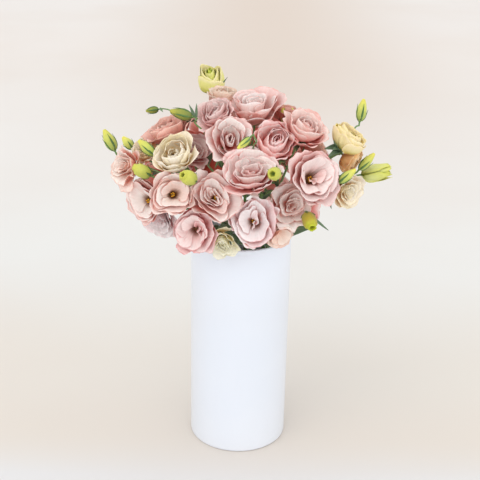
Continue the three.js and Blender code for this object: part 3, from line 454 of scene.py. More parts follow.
# where a bloom's layers lie: petals in a set nearly touch, and the sets stand apart
SETS = {
    "spiral": [(0.0, 0.20, 5), (0.34, 0.46, 4), (0.62, 0.74, 4), (0.88, 1.0, 4)],
    "ball": [(0.0, 0.26, 5), (0.42, 0.56, 4), (0.72, 0.80, 4), (0.92, 1.0, 4)],
    "semi": [(0.0, 0.22, 5), (0.34, 0.48, 4), (0.62, 0.76, 4), (0.88, 1.0, 4)],
    "open": [(0.0, 0.12, 2), (0.32, 0.42, 4), (0.62, 0.74, 4), (0.88, 1.0, 4)],
    "cup": [(0.0, 0.3, 5), (0.55, 0.65, 3), (0.9, 1.0, 4)],
    "egg": [(0.0, 0.3, 5), (0.55, 0.66, 3), (0.9, 1.0, 3)],
}


FORMS["wide"] = [
    (0.00, (0.08, 0.28, 0.14, 0.56, 0.16, 0.74, 1.35)),
    (0.16, (0.14, 0.24, 0.24, 0.60, 0.34, 0.82, 1.25)),
    (0.32, (0.20, 0.18, 0.36, 0.60, 0.56, 0.88, 1.35)),
    (0.55, (0.28, 0.12, 0.52, 0.56, 0.75, 0.93, 1.20)),
    (0.80, (0.34, 0.07, 0.68, 0.52, 0.92, 0.88, 1.06)),
    (1.00, (0.38, 0.04, 0.82, 0.44, 1.04, 0.80, 0.96)),
]
SETS["wide"] = [(0.0, 0.2, 5), (0.32, 0.46, 4), (0.62, 0.76, 4), (0.88, 1.0, 4)]


def every_other(m):
    idx = list(range(0, m, 2))
    return idx if idx[-1] == m - 1 else idx + [m - 1]


def tucked(tree, X, F, reach):
    """How far each side of a petal is covered by petals, 0 in the open and 1 in a crease: the mask for the petals'
    painted crease shade.
    """
    N = grid_normals(X)
    rows, cols = every_other(X.shape[0]), every_other(X.shape[1])
    ways = [F[:, 2]] + [unit(F[:, 2] + 0.8 * k * F[:, c]) for c in (0, 1) for k in (1, -1)]
    aims = [Vector(w) for w in ways]
    out = []
    for side in (1, -1):
        n = side * N[rows][:, cols]
        start = X[rows][:, cols] + n * 0.0007
        w = 0.3 + np.maximum(0, np.einsum("ijk,dk->ijd", n, np.array(ways)))
        G = np.zeros(n.shape[:2])
        for i in range(G.shape[0]):
            for j in range(G.shape[1]):
                p = Vector(start[i, j])
                hit = [tree.ray_cast(p, a, reach)[0] is not None for a in aims]
                G[i, j] = (w[i, j] * hit).sum() / w[i, j].sum()
        H = np.array([np.interp(range(X.shape[1]), cols, g) for g in G])
        H = np.array([np.interp(range(X.shape[0]), rows, H[:, k]) for k in range(H.shape[1])]).T
        out.append(H)
    return tuple(out)


def make_bloom(bd, spec, rng, detail=1.0, give=None):
    """Builds the petal grids of one bloom and adds its receptacle to bd. spec: base, axis, R, H, style, and how ruffled
    it is.
    """
    R, H = spec["R"], spec["H"]
    F = frame_of(spec.get("leans", spec["axis"]), spec.get("turn", rng.uniform(0, 6.28)))
    base = np.asarray(spec["base"], float)
    if "leans" in spec:
        # the cup nods round its own middle
        base = base + (unit(spec["axis"]) - unit(spec["leans"]) * spec.get("deep", 1.0)) * 0.45 * H
    H = H * spec.get("deep", 1.0)
    style = spec["style"]
    ruff = 1.18 * spec.get("ruffle", 1.0)
    b = dict(field=bloom_field(rng), wave=0.058 * ruff)
    gap = spec.get("gap", 0.0)  # a deep ring between the heart and the outer petals
    # a slow bend of the whole bloom, so that none is a perfect circle
    bw = rng.normal(0, 1, (3, 3)) * 0.040
    bp = rng.uniform(0, 6.28, 3)
    # the heart sits a little off the middle and is a little oval
    oa = rng.uniform(0, 6.28)
    off = spec.get("off", 0.10) * rng.uniform(0.5, 1.2) * np.array([math.cos(oa), math.sin(oa)])
    oval = rng.uniform(0.14, 0.42) if style != "open" else rng.uniform(0.05, 0.20)
    ov = rng.uniform(0, 3.14)
    # the side of the throat where the folded petals stand, as a direction in the picture
    fx, fz = spec.get("fold_to", (rng.normal(), rng.normal()))
    v = np.array([fx, 0.0, fz])
    aside = math.atan2(v @ F[:, 1], v @ F[:, 0])
    if style == "open":
        off = -0.7 * spec.get("off", 0.10) * np.array([math.cos(aside), math.sin(aside)])
    sheets = []
    th = rng.uniform(0, 6.28)
    hand = 1 if rng.uniform() < 0.5 else -1
    for lo, hi, count in SETS[style]:
        if spec.get("bare") and hi < 0.2:
            continue
        th += rng.uniform(0.4, 1.2)
        # each set of petals is pressed to a side of its own
        sa = rng.uniform(0, 6.28)
        push = rng.uniform(0.02, 0.085) * (1 - 0.55 * hi) * np.array([math.cos(sa), math.sin(sa)])
        for i in range(count):
            f = lo + (hi - lo) * (i / max(1, count - 1))
            th += hand * (2 * math.pi / count * (1.0 if count < 5 else 2.0) + rng.normal(0, 0.13))
            r1, z1, r2, z2, r3, z3, w = blend(FORMS[style], f)
            j = rng.normal(0, 1, 5)
            outer = float(smooth(0.5, 1.0, f))
            heart = 1 - float(smooth(0.1, 0.4, f))
            r3 *= 1 + 0.055 * j[0] * (1 - 0.4 * outer)
            z3 += (0.038 + 0.015 * heart) * j[1]
            r2 *= 1 + 0.045 * j[2]
            z2 += 0.035 * j[3]
            if gap:
                ring = smooth(0.28, 0.40, f) * (1 - smooth(0.7, 1.0, f))
                r3 += gap * ring - 0.5 * gap * heart * (r3 > 0.1)
                r2 += 0.6 * gap * ring
            P = [(0.03, 0.03), (r1, z1), (r2, z2), (r3, z3)]
            small = 0.50 + 0.50 * float(smooth(0.0, 0.5, f))
            q = dict(
                P=P,
                th=th,
                w=w * rng.uniform(0.88, 1.12),
                layer=f,
                nu=int(round((10 + 2 * outer) * detail)),
                nv=int(round((25 if f > 0.25 else 22) * detail)),
                side=0.05 + 0.08 * outer * rng.uniform(0.4, 1.4),
                corner=0.15 + 0.09 * outer,
                notch=rng.uniform(0.0, 0.06) * (0.4 + outer),
                nick=rng.uniform(-0.5, 0.5),
                rag=0.018 * ruff * (0.5 + outer),
                twist=rng.normal(0, 0.10),
                spiral=hand * (0.020 + 0.015 * outer),
                flare=rng.normal(0.02, 0.035) * (0.5 + outer),
                own=0.050 * ruff * (0.60 + 0.5 * outer) * small * rng.uniform(0.6, 1.4),
                k1=rng.uniform(2.4, 4.0),
                ripple=0.044 * ruff * (0.55 + 0.55 * outer) * small * rng.uniform(0.5, 1.5),
                k2=rng.uniform(7.0, 11.0),
                frill=0.020 * ruff * (0.5 + 0.6 * outer) * rng.uniform(0.4, 1.5),
                k3=rng.uniform(17.0, 25.0),
                fold=rng.normal(0, 0.050) * small,
                fold_at=rng.uniform(-0.6, 0.6),
                curl=rng.normal(0.02, 0.075) * (0.6 + 0.6 * outer) * small,
                curl_side=1 if rng.uniform() < 0.5 else -1,
                roll=(0.010 + 0.085 * outer * rng.uniform(0.1, 1.7)) * spec.get("roll", 1.0),
                small=small,
            )
            if style == "open" and f < 0.2:
                # folded petals that stand at one side of the throat
                q.update(fold=rng.choice([-1, 1]) * rng.uniform(0.08, 0.14), own=0.09, curl=rng.normal(0, 0.12), w=q["w"] * 1.35, th=aside + (i - 0.5) * 1.05)
            if style == "semi" and f < 0.3:
                q.update(fold=rng.choice([-1, 1]) * rng.uniform(0.03, 0.08))
            if style == "semi" and f < 0.3:
                q.update(own=q["own"] * 1.5)
            if style == "egg":
                q.update(roll=0.02, rag=0.008, notch=0.0, side=0.16, corner=0.20, frill=0.008, curl=0.02, ripple=q["ripple"] * 0.5, own=q["own"] * 0.5)
            if style == "cup":
                q["roll"] *= 0.3
                q["own"] *= 0.6
                q["curl"] *= 0.5
                q["point"] = spec.get("point", 0.0) * outer
            X, vals = petal(b, rng, q)
            s = vals["along"]
            lift = smooth(0.1, 0.8, s)
            c, sn = math.cos(ov), math.sin(ov)
            hf = (1 - f) ** 1.2
            xy = X[..., :2]
            a1 = xy[..., 0] * c + xy[..., 1] * sn
            a2 = -xy[..., 0] * sn + xy[..., 1] * c
            k1 = 1 + (oval * hf) * lift
            a1, a2 = a1 * k1, a2 / k1
            xy = np.stack([a1 * c - a2 * sn, a1 * sn + a2 * c], -1) + (off * hf + push) * lift[..., None]
            X = np.concatenate([xy, X[..., 2:]], -1)
            bend = sum(
                np.sin(X @ axis_dir * 2.2 + p)[..., None] * v
                for axis_dir, p, v in zip(np.eye(3), bp, bw)
            )
            X = X + bend * smooth(0.15, 0.8, s)[..., None]
            if spec.get("slant"):
                # the rims slope down towards the front, so that the heart shows
                away = np.array([0.0, 1.0, -0.2]) @ F[:, :2]
                X = np.concatenate([X[..., :2], X[..., 2:] * (1 + spec["slant"] * np.minimum(X[..., :2] @ away, 0.12)[..., None])], -1)
            wide = 1 + (spec.get("spread", 1.03) - 1) * outer
            X = X * np.array([R * wide, R * wide, H])
            X = X @ F.T + base
            if give is not None:
                X = give(X)
            sheets.append((X, (0.50 - 0.26 * s) * MM, vals))
    # the receptacle that closes the bottom of the cup
    bd.lathe(
        [(0, -0.001), (0.06 * R, 0.0), (0.13 * R, 0.05 * H), (0.14 * R, 0.16 * H), (0.07 * R, 0.205 * H), (0, 0.215 * H)],
        12,
        base,
        F,
        vals=dict(along=0.0, layer=0.0, shade=0.5, face=0.0),
    )
    return F, base, sheets


# ------------------------------------------------------------------ buds, calyces, stems, leaves
def sepal(bd, base, frame, angle, r0, path, width, mat, rng):
    """A narrow green sepal that follows (r, z) points on one side of a bloom or bud."""
    path = np.asarray(path, float)
    n = 9
    t = np.linspace(0, 1, n)
    d = np.r_[0, np.cumsum(np.linalg.norm(np.diff(path, axis=0), axis=1))]
    r = np.interp(t * d[-1], d, path[:, 0])
    z = np.interp(t * d[-1], d, path[:, 1])
    w = width * (0.55 + 0.9 * np.sin(np.pi * np.clip(t * 1.05 + 0.12, 0, 1)) ** 0.8) * (1 - t**3) + 0.00012
    c, s = math.cos(angle), math.sin(angle)
    rad, tan = np.array([c, s, 0.0]), np.array([-s, c, 0.0])
    cols = np.linspace(-1, 1, 5)
    sway = rng.normal(0, 0.06) * t**2 * d[-1]
    P = np.zeros((n, 5, 3))
    for j, cc in enumerate(cols):
        keel = -0.35 * w * abs(cc)
        P[:, j] = rad * (r + keel)[:, None] + tan * (cc * w / 2 + sway)[:, None] + np.array([0, 0, 1.0]) * z[:, None]
    P = P @ np.asarray(frame).T + np.asarray(base)
    P = P[:, ::-1]
    bd.sheet(P, 0.00045, dict(along=np.repeat(t[:, None], 5, 1), across=np.repeat(cols[None], n, 0), layer=0.0, shade=rng.uniform()), mat=mat)


def calyx(bd, base, frame, R, H, rng, mat=0, style="bloom"):
    """The green cup under a bloom, with five narrow sepals lying on its petals."""
    k = R / 0.028
    bd.lathe(
        [(0, -0.0012 * k), (0.0019 * k, -0.0006 * k), (0.0030 * k, 0.0012 * k), (0.0035 * k, 0.0028 * k), (0.0028 * k, 0.0036 * k), (0, 0.0038 * k)],
        12,
        base,
        frame,
        vals=dict(along=0.1, shade=rng.uniform()),
        mat=mat,
    )
    a0 = rng.uniform(0, 6.28)
    for i in range(5):
        L = rng.uniform(0.42, 0.66)
        out = rng.uniform(0.012, 0.05)
        path = [
            (0.0026 * k, 0.0015 * k),
            (0.17 * R, 0.045 * H),
            (0.36 * R, 0.13 * H),
            (0.52 * R + out * R, (0.24 - out) * H),
            ((0.60 + 0.35 * (L - 0.42)) * R + 2.2 * out * R, (0.32 - out) * H),
        ]
        cut = max(3, int(round(5 * (0.55 + L * 0.7))))
        sepal(bd, base, frame, a0 + 2 * math.pi * i / 5 + rng.normal(0, 0.12), 0, path[:cut], 0.0024 * k, mat, rng)


def make_bud(bd, spec, rng, mat=0, green=1):
    """A closed bud: five furled petals wound round each other, and sepals from the calyx."""
    R, H = spec["R"], spec["H"]
    F = frame_of(spec["axis"], rng.uniform(0, 6.28))
    base = np.asarray(spec["base"], float)
    prof = [(0, 0.0), (0.22, 0.0), (0.52, 0.05), (0.78, 0.14), (0.95, 0.27), (1.0, 0.40), (0.94, 0.54), (0.80, 0.67), (0.62, 0.78), (0.44, 0.87), (0.27, 0.94), (0.14, 0.985), (0, 1.0)]
    dim = spec.get("dimple", 0.45)
    prof = prof[:-4] + [(0.30 + 0.14 * dim, 0.93), (0.20 + 0.14 * dim, 0.985), (0.13 + 0.14 * dim, 1.0), (0.08 + 0.10 * dim, 0.975), (0.04 + 0.06 * dim, 0.93 - 0.04 * dim), (0, 0.90 - 0.05 * dim)]
    if spec.get("mouth"):
        # a blunt bud whose petals wind down into a hollow
        m = spec["mouth"]
        prof = [(0, 0.0), (0.28, 0.0), (0.60, 0.05), (0.84, 0.15), (0.97, 0.30), (1.0, 0.45), (0.97, 0.60), (0.88, 0.74), (0.5 * (0.76 + m), 0.86), (m + 0.13, 0.95), (m + 0.04, 0.99), (m - 0.04, 0.98), (m - 0.11, 0.92), (0.62 * m, 0.82), (0.35 * m, 0.76), (0, 0.74)]
    P = spline([(r, z, 0) for r, z in prof], 34)[:, :2]
    P[0, 0] = P[-1, 0] = 0
    top = int(np.argmax(P[:, 1]))
    hollow = np.clip((np.arange(len(P)) - top) / max(1, len(P) - 1 - top), 0, 1)
    hollow = np.r_[np.repeat(hollow[1:-1], 40), 0.0, 1.0]
    P = np.clip(P, 0, None) * [R, H]
    tw = rng.uniform(2.0, 3.2) * (1 if rng.uniform() < 0.8 else -1)
    ph = rng.uniform(0, 6.28)

    def wob(th, z):
        x = 5 * (th + ph) - tw * z / H * 2.2
        saw = (x / (2 * np.pi)) % 1.0
        step = saw - smooth(0.86, 1.0, saw)
        crimp = 0.020 * np.sin(11 * th + 9 * z / H + ph) + 0.014 * np.sin(17 * th - 13 * z / H)
        return 1 + (0.115 * (step - 0.5) + crimp) * smooth(0.05, 0.35, z / H) * (1 + 1.1 * smooth(0.55, 1.0, z / H))

    bd.lathe(P, 40, base, F, vals=dict(shade=rng.uniform(), layer=spec.get("ripe", 0.5), across=hollow), mat=mat, wob=wob)
    # a collar and five sepals hugging the bud
    k = R / 0.0065
    bd.lathe(
        [(0, -0.0011 * k), (0.0016 * k, -0.0007 * k), (0.0024 * k, 0.0006 * k), (0.0030 * k, 0.0022 * k), (0.0024 * k, 0.0032 * k), (0, 0.0034 * k)],
        12,
        base,
        F,
        vals=dict(along=0.1, shade=rng.uniform()),
        mat=green,
    )
    a0 = rng.uniform(0, 6.28)
    reach = spec.get("sepals", 0.62)
    for i in range(5):
        m = rng.uniform(0.8, 1.1) * reach
        zz = np.linspace(0.03, m, 6)
        rr = np.interp(zz * H, P[1:-1, 1], P[1:-1, 0]) + 0.00055
        rr[-2:] += np.array([0.0005, 0.0016]) * k * rng.uniform(0.3, 1.3)
        sepal(bd, base, F, a0 + 2 * math.pi * i / 5, 0, np.stack([rr, zz * H], 1), 0.0019 * k, green, rng)
    return F, base


def leaf(bd, base, tip, normal, width, rng, mat=0, droop=0.10, fold=0.22, nu=14, nv=8, wave=0.03, give=None):
    """A lance-shaped leaf with a sunk midrib, a soft fold and a drooping tip."""
    b, e = np.asarray(base, float), np.asarray(tip, float)
    L = np.linalg.norm(e - b)
    a = (e - b) / L
    up = unit(normal)
    up = unit(up - a * (up @ a))
    side = np.cross(up, a)
    t = np.linspace(0, 1, nu + 1)
    w = width / 2 * (np.sin(np.pi * np.clip(t, 0, 1) ** 0.72) ** 0.85 * (1 - 0.25 * t) + 0.10 * (1 - t) ** 3) + 0.00015
    c = np.linspace(-1, 1, nv + 1)
    arch = droop * L * (4 * t * (1 - t)) ** 1.0
    ph = rng.uniform(0, 6.28)
    P = np.zeros((nu + 1, nv + 1, 3))
    for j, cc in enumerate(c):
        lift = arch + fold * np.abs(cc) * w + wave * L * np.sin(6.5 * t + ph + (1.3 if cc > 0 else 0)) * abs(cc) ** 1.5 * np.sin(np.pi * t)
        P[:, j] = b + a * (t * L)[:, None] + side * (cc * w)[:, None] + up * lift[:, None]
    P = P[:, ::-1]
    if give is not None:
        P = give(P)
    bd.sheet(P, 0.00055, dict(along=np.repeat(t[:, None], nv + 1, 1), across=np.repeat(c[None], nu + 1, 0), layer=0.0, shade=rng.uniform()), mat=mat)


def bract(bd, base, along, out, length, width, rng, mat=0):
    """A small leaf that leaves a stalk at a fork."""
    a = unit(unit(along) * 0.72 + unit(out) * 0.70)
    n = unit(np.cross(np.cross(a, out), a) + 1e-6)
    leaf(bd, base, np.asarray(base) + a * length, -n if n @ unit(along) < 0 else n, width, rng, mat, droop=0.08, fold=0.3, nu=9, nv=4, wave=0.0)


def stamens(bd, base, frame, R, H, rng, gold=0, green=1):
    """Golden anthers round a green pistil, deep in an open bloom."""
    for i in range(6):
        a = 2 * math.pi * i / 6 + rng.normal(0, 0.2)
        rr = rng.uniform(0.045, 0.085) * R
        hh = rng.uniform(0.30, 0.42) * H
        c, s = math.cos(a), math.sin(a)
        pts = np.array([[0.02 * R * c, 0.02 * R * s, 0.12 * H], [0.6 * rr * c, 0.6 * rr * s, 0.3 * H], [rr * c, rr * s, hh]])
        C = spline(pts, 7) @ frame.T + base
        bd.tube(C, 0.00028, 5, dict(shade=0.2), mat=green)
        e = np.array([[rr * c, rr * s, hh - 0.0012], [rr * c * 1.05, rr * s * 1.05, hh], [rr * c * 1.3, rr * s * 1.3, hh + 0.0022]])
        C = spline(e, 6) @ frame.T + base
        bd.tube(C, np.array([0.3, 0.9, 1.1, 1.1, 0.85, 0.3]) * 0.00078 * R / 0.03, 7, dict(shade=rng.uniform()), mat=gold)
    C = np.array([[0, 0, 0.1 * H], [0, 0, 0.22 * H], [0, 0, 0.35 * H]]) @ frame.T + base
    bd.tube(spline(C, 8), np.array([1.6, 1.5, 1.1, 0.7, 0.6, 0.6, 1.0, 0.8]) * 0.001, 8, dict(shade=0.6), mat=green)


# ------------------------------------------------------------------ materials
def lin(c):
    """An sRGB triple of 0 to 255 as linear RGBA."""
    out = []
    for x in c:
        x = x / 255.0
        out.append(x / 12.92 if x <= 0.04045 else ((x + 0.055) / 1.055) ** 2.4)
    return (*out, 1.0)


def lifted(c, k=1.5):
    """A petal colour as the skin itself has it: in a full bloom, light lost between the layers makes it look deeper."""
    out = []
    for x in lin(c)[:3]:
        y = 1 - (1 - x) ** k
        out.append(255 * (12.92 * y if y <= 0.0031308 else 1.055 * y ** (1 / 2.4) - 0.055))
    return tuple(out)


class Tree:
    def __init__(self, name):
        self.mat = bpy.data.materials.new(name)
        self.mat.use_nodes = True
        self.nt = self.mat.node_tree
        self.nt.nodes.clear()
        self.out = self.nt.nodes.new("ShaderNodeOutputMaterial")

    def node(self, kind, **props):
        n = self.nt.nodes.new(kind)
        for k, v in props.items():
            setattr(n, k, v)
        return n

    def put(self, socket, value):
        if isinstance(value, bpy.types.NodeSocket):
            self.nt.links.new(value, socket)
        else:
            socket.default_value = value

    def attr(self, name, out="Fac"):
        n = self.node("ShaderNodeAttribute", attribute_name=name)
        return n.outputs[out]

    def math(self, op, a, b=None, c=None, clamp=False):
        n = self.node("ShaderNodeMath", operation=op, use_clamp=clamp)
        for i, v in enumerate((a, b, c)):
            if v is not None:
                self.put(n.inputs[i], v)
        return n.outputs[0]

    def ramp01(self, x, lo, hi, a=0.0, b=1.0):
        n = self.node("ShaderNodeMapRange", interpolation_type="SMOOTHSTEP")
        for key, v in (("Value", x), ("From Min", lo), ("From Max", hi), ("To Min", a), ("To Max", b)):
            self.put(n.inputs[key], v)
        return n.outputs[0]

    def mix(self, fac, a, b, mode="MIX"):
        n = self.node("ShaderNodeMix", data_type="RGBA", blend_type=mode)
        self.put(n.inputs["Factor"], fac)
        self.put(n.inputs[6], a)
        self.put(n.inputs[7], b)
        return n.outputs[2]

    def ramp(self, x, stops):
        n = self.node("ShaderNodeValToRGB")
        cr = n.color_ramp
        cr.interpolation = "EASE"
        while len(cr.elements) < len(stops):
            cr.elements.new(0.5)
        for e, (p, c) in zip(cr.elements, stops):
            e.position = p
            e.color = c
        self.put(n.inputs[0], x)
        return n.outputs[0]

    def place(self, scale=(1, 1, 1)):
        tc = self.node("ShaderNodeTexCoord")
        mp = self.node("ShaderNodeMapping")
        mp.inputs["Scale"].default_value = scale
        self.nt.links.new(tc.outputs["Object"], mp.inputs[0])
        return mp.outputs[0]

    def noise(self, vec, scale, detail=2.0, rough=0.5, distort=0.0, out="Fac"):
        n = self.node("ShaderNodeTexNoise")
        if vec is not None:
            self.put(n.inputs["Vector"], vec)
        self.put(n.inputs["Scale"], scale)
        self.put(n.inputs["Detail"], detail)
        self.put(n.inputs["Roughness"], rough)
        self.put(n.inputs["Distortion"], distort)
        return n.outputs[out]

    def combine(self, x, y, z):
        n = self.node("ShaderNodeCombineXYZ")
        for i, v in enumerate((x, y, z)):
            self.put(n.inputs[i], v)
        return n.outputs[0]

    def bump(self, height, strength, distance):
        n = self.node("ShaderNodeBump")
        self.put(n.inputs["Height"], height)
        n.inputs["Strength"].default_value = strength
        n.inputs["Distance"].default_value = distance
        return n.outputs[0]

    def principled(self, colour, rough, normal=None, **consts):
        n = self.node("ShaderNodeBsdfPrincipled")
        self.put(n.inputs["Base Color"], colour)
        self.put(n.inputs["Roughness"], rough)
        if normal is not None:
            self.put(n.inputs["Normal"], normal)
        for k, v in consts.items():
            n.inputs[k.replace("_", " ")].default_value = v
        return n.outputs[0]

    def surface(self, shader):
        self.nt.links.new(shader, self.out.inputs["Surface"])
        return self.mat


def petal_material(name, face, rim, fold, base, throat=None, back=None, heart=None, glow=0.22, outer_deep=0.24, crease=None, shade_strength=0.70, steep=0.42, pit=None):
    """Petal skin: base to rim blend that deepens towards the base partly as painted shade, painted rose shade in the
    creases, fan of fine veins, own tone for each petal.
    """
    face, rim, fold, base = (lifted(c) for c in (face, rim, fold, base))
    back = lifted(back) if back else None
    crease = crease or [k * x for k, x in zip((1.0, 0.82, 0.75), fold)]
    heart = lifted(heart) if heart else [0.35 * a + 0.65 * b for a, b in zip(face, fold)]
    t = Tree(name)
    s, across = t.attr("along"), t.attr("across")
    layer, shade, side, tuck = t.attr("layer"), t.attr("shade"), t.attr("face"), t.attr("tuck")
    pos = t.place()
    blot = t.noise(pos, 95.0, 3.0, 0.55)
    s1 = t.math("ADD", s, t.math("MULTIPLY", t.math("SUBTRACT", blot, 0.5), 0.16))
    # towards its base the blend deepens through the deep and fold colours: partly the petal's own deeper base, partly
    # painted shade where the base lies deep in the bloom
    deep = [k * x for k, x in zip((0.74, 0.48, 0.45), fold)]
    inner = t.ramp(s1, [(0.0, lin(base)), (0.11, lin(deep)), (0.23, lin(fold)), (0.38, lin([0.30 * a + 0.70 * b for a, b in zip(fold, face)])), (0.54, lin(face)), (0.90, lin(rim))])
    bk = back or [0.75 * a + 0.25 * b for a, b in zip(face, fold)]
    outer = t.ramp(s1, [(0.0, lin((176, 190, 132))), (0.14, lin([0.6 * a + 0.4 * b for a, b in zip(bk, base)])), (0.45, lin(bk)), (0.85, lin([0.5 * a + 0.5 * b for a, b in zip(bk, rim)])), (1.0, lin(rim))])
    col = t.mix(side, inner, outer)
    # a fine rosier line round the rim, stronger on some stretches than on others
    stretch = t.noise(pos, 130.0, 2.0, 0.5)
    line = t.math("MAXIMUM", t.ramp01(s, 0.955, 1.0), t.ramp01(t.math("ABSOLUTE", across), 0.95, 1.0))
    col = t.mix(t.math("MULTIPLY", line, t.ramp01(stretch, 0.35, 0.68, 0.10, 0.72)), col, lin(fold))
    # own tone of each petal: some paler, some rosier
    pale = t.mix(t.ramp01(shade, 0.45, 1.0, 0.0, 0.34), col, lin(rim))
    rosy = t.mix(t.ramp01(shade, 0.45, 0.0, 0.0, 0.30), pale, lin(fold))
    col = rosy
    # the heart petals are painted deeper than the outer ones: partly their own deeper tone, partly painted shade deep
    # in the bloom's middle
    col = t.mix(t.math("MULTIPLY", t.ramp01(layer, 0.34, 0.02), t.ramp01(s1, 1.02, 0.70, steep**3, steep)), col, lin(heart))
    # so are the outermost ones, up to their rims
    ring = t.math("MULTIPLY", t.ramp01(layer, 0.50, 1.0, 0.0, outer_deep), t.ramp01(s1, 1.04, 0.80, 0.30, 1.0))
    col = t.mix(ring, col, lin([0.25 * a + 0.75 * b for a, b in zip(face, fold)]))
    # soft blotches of deeper colour towards the middle of the petal
    soft = t.noise(pos, 38.0, 2.0, 0.5)
    col = t.mix(t.math("MULTIPLY", t.ramp01(soft, 0.50, 0.78), 0.22), col, lin(fold))
    # painted shade in the creases, by how far petals cover each stretch: little light comes in there, and what does has
    # passed through petals
    crease_shade_mask = t.math("ADD", tuck, t.math("MULTIPLY", t.math("SUBTRACT", soft, 0.5), 0.25))
    col = t.mix(t.ramp01(crease_shade_mask, 0.22, 1.05, 0.0, shade_strength), col, lin(crease))
    # and painted shade deepest where two petals meet
    pit = pit or [k * x for k, x in zip((0.86, 0.56, 0.50), crease)]
    col = t.mix(t.ramp01(crease_shade_mask, 0.58, 1.06, 0.0, 0.80), col, lin(pit))
    # veins that fan out from the base
    vein = t.noise(t.combine(t.math("MULTIPLY", across, 13.0), t.math("MULTIPLY", s, 1.7), t.math("MULTIPLY", shade, 40.0)), 1.0, 3.0, 0.6)
    lines = t.ramp01(t.math("ABSOLUTE", t.math("SUBTRACT", vein, 0.5)), 0.0, 0.07, 1.0, 0.0)
    col = t.mix(t.math("MULTIPLY", lines, 0.09), col, lin([0.80 * a for a in fold]))
    if throat is not None:
        # the throat painted brown: partly its own colour, partly painted shade deep in the throat
        fac = t.math("MULTIPLY", t.ramp01(s1, 0.62, 0.26), t.ramp01(layer, 0.75, 0.35))
        fac = t.math("MULTIPLY", fac, t.math("SUBTRACT", 1.0, t.math("MULTIPLY", side, 0.6)), clamp=True)
        col = t.mix(fac, col, lin(throat))
    h = t.math("ADD", t.math("MULTIPLY", vein, 0.8), t.math("MULTIPLY", t.noise(pos, 900.0, 3.0, 0.6), 0.35))
    nrm = t.bump(h, 0.35, 0.0006)
    rough = t.ramp01(blot, 0.3, 0.7, 0.50, 0.64)
    bs = t.principled(col, rough, nrm, Sheen_Weight=0.12, Sheen_Roughness=0.4, Specular_IOR_Level=0.30)
    tr = t.node("ShaderNodeBsdfTranslucent")
    # light that comes through the petal is deeper than light from its skin
    t.put(tr.inputs["Color"], t.mix(0.22, col, lin(fold)))
    mx = t.node("ShaderNodeMixShader")
    mx.inputs[0].default_value = glow
    t.nt.links.new(bs, mx.inputs[1])
    t.nt.links.new(tr.outputs[0], mx.inputs[2])
    return t.surface(mx.outputs[0])


def green_material(name, base, tip, dark, veins=0.0, gloss=0.42, glow=0.0, bloomy=0.25):
    """Stalk or leaf skin: base-to-tip blend, fine streaks along it, a waxy bluish bloom and a midrib."""
    t = Tree(name)
    s, across, shade, side = t.attr("along"), t.attr("across"), t.attr("shade"), t.attr("face")
    pos = t.place()
    blot = t.noise(pos, 160.0, 4.0, 0.6)
    fine = t.noise(t.place((1, 1, 0.12)), 900.0, 3.0, 0.6)
    s1 = t.math("ADD", s, t.math("MULTIPLY", t.math("SUBTRACT", blot, 0.5), 0.3))
    col = t.ramp(s1, [(0.0, lin(base)), (0.55, lin([0.5 * (a + b) for a, b in zip(base, tip)])), (1.0, lin(tip))])
    col = t.mix(t.ramp01(shade, 0.0, 1.0, 0.0, 0.42), col, lin(dark))
    col = t.mix(t.math("MULTIPLY", t.ramp01(fine, 0.45, 0.75), 0.35), col, lin([0.72 * a for a in base]))
    col = t.mix(t.math("MULTIPLY", t.ramp01(blot, 0.5, 0.8), bloomy), col, lin((172, 190, 170)))
    h = t.math("MULTIPLY", fine, 0.6)
    if veins:
        rib = t.ramp01(t.math("ABSOLUTE", across), 0.0, 0.10, 1.0, 0.0)
        col = t.mix(t.math("MULTIPLY", rib, 0.55), col, lin([min(255, 1.35 * a + 18) for a in tip]))
        v = t.math("SINE", t.math("ADD", t.math("MULTIPLY", s, 58.0), t.math("MULTIPLY", t.math("ABSOLUTE", across), -14.0)))
        lines = t.ramp01(v, 0.80, 1.0)
        col = t.mix(t.math("MULTIPLY", lines, 0.22 * veins), col, lin([min(255, 1.2 * a + 10) for a in tip]))
        col = t.mix(t.math("MULTIPLY", side, 0.35), col, lin([min(255, 0.75 * a + 62) for a in tip]))
        h = t.math("ADD", h, t.math("ADD", t.math("MULTIPLY", rib, -1.2), t.math("MULTIPLY", lines, -0.4)))
    nrm = t.bump(h, 0.4, 0.0005)
    rough = t.ramp01(fine, 0.2, 0.8, gloss - 0.06, gloss + 0.12)
    bs = t.principled(col, rough, nrm, Specular_IOR_Level=0.38)
    if not glow:
        return t.surface(bs)
    tr = t.node("ShaderNodeBsdfTranslucent")
    t.put(tr.inputs["Color"], col)
    mx = t.node("ShaderNodeMixShader")
    mx.inputs[0].default_value = glow
    t.nt.links.new(bs, mx.inputs[1])
    t.nt.links.new(tr.outputs[0], mx.inputs[2])
    return t.surface(mx.outputs[0])


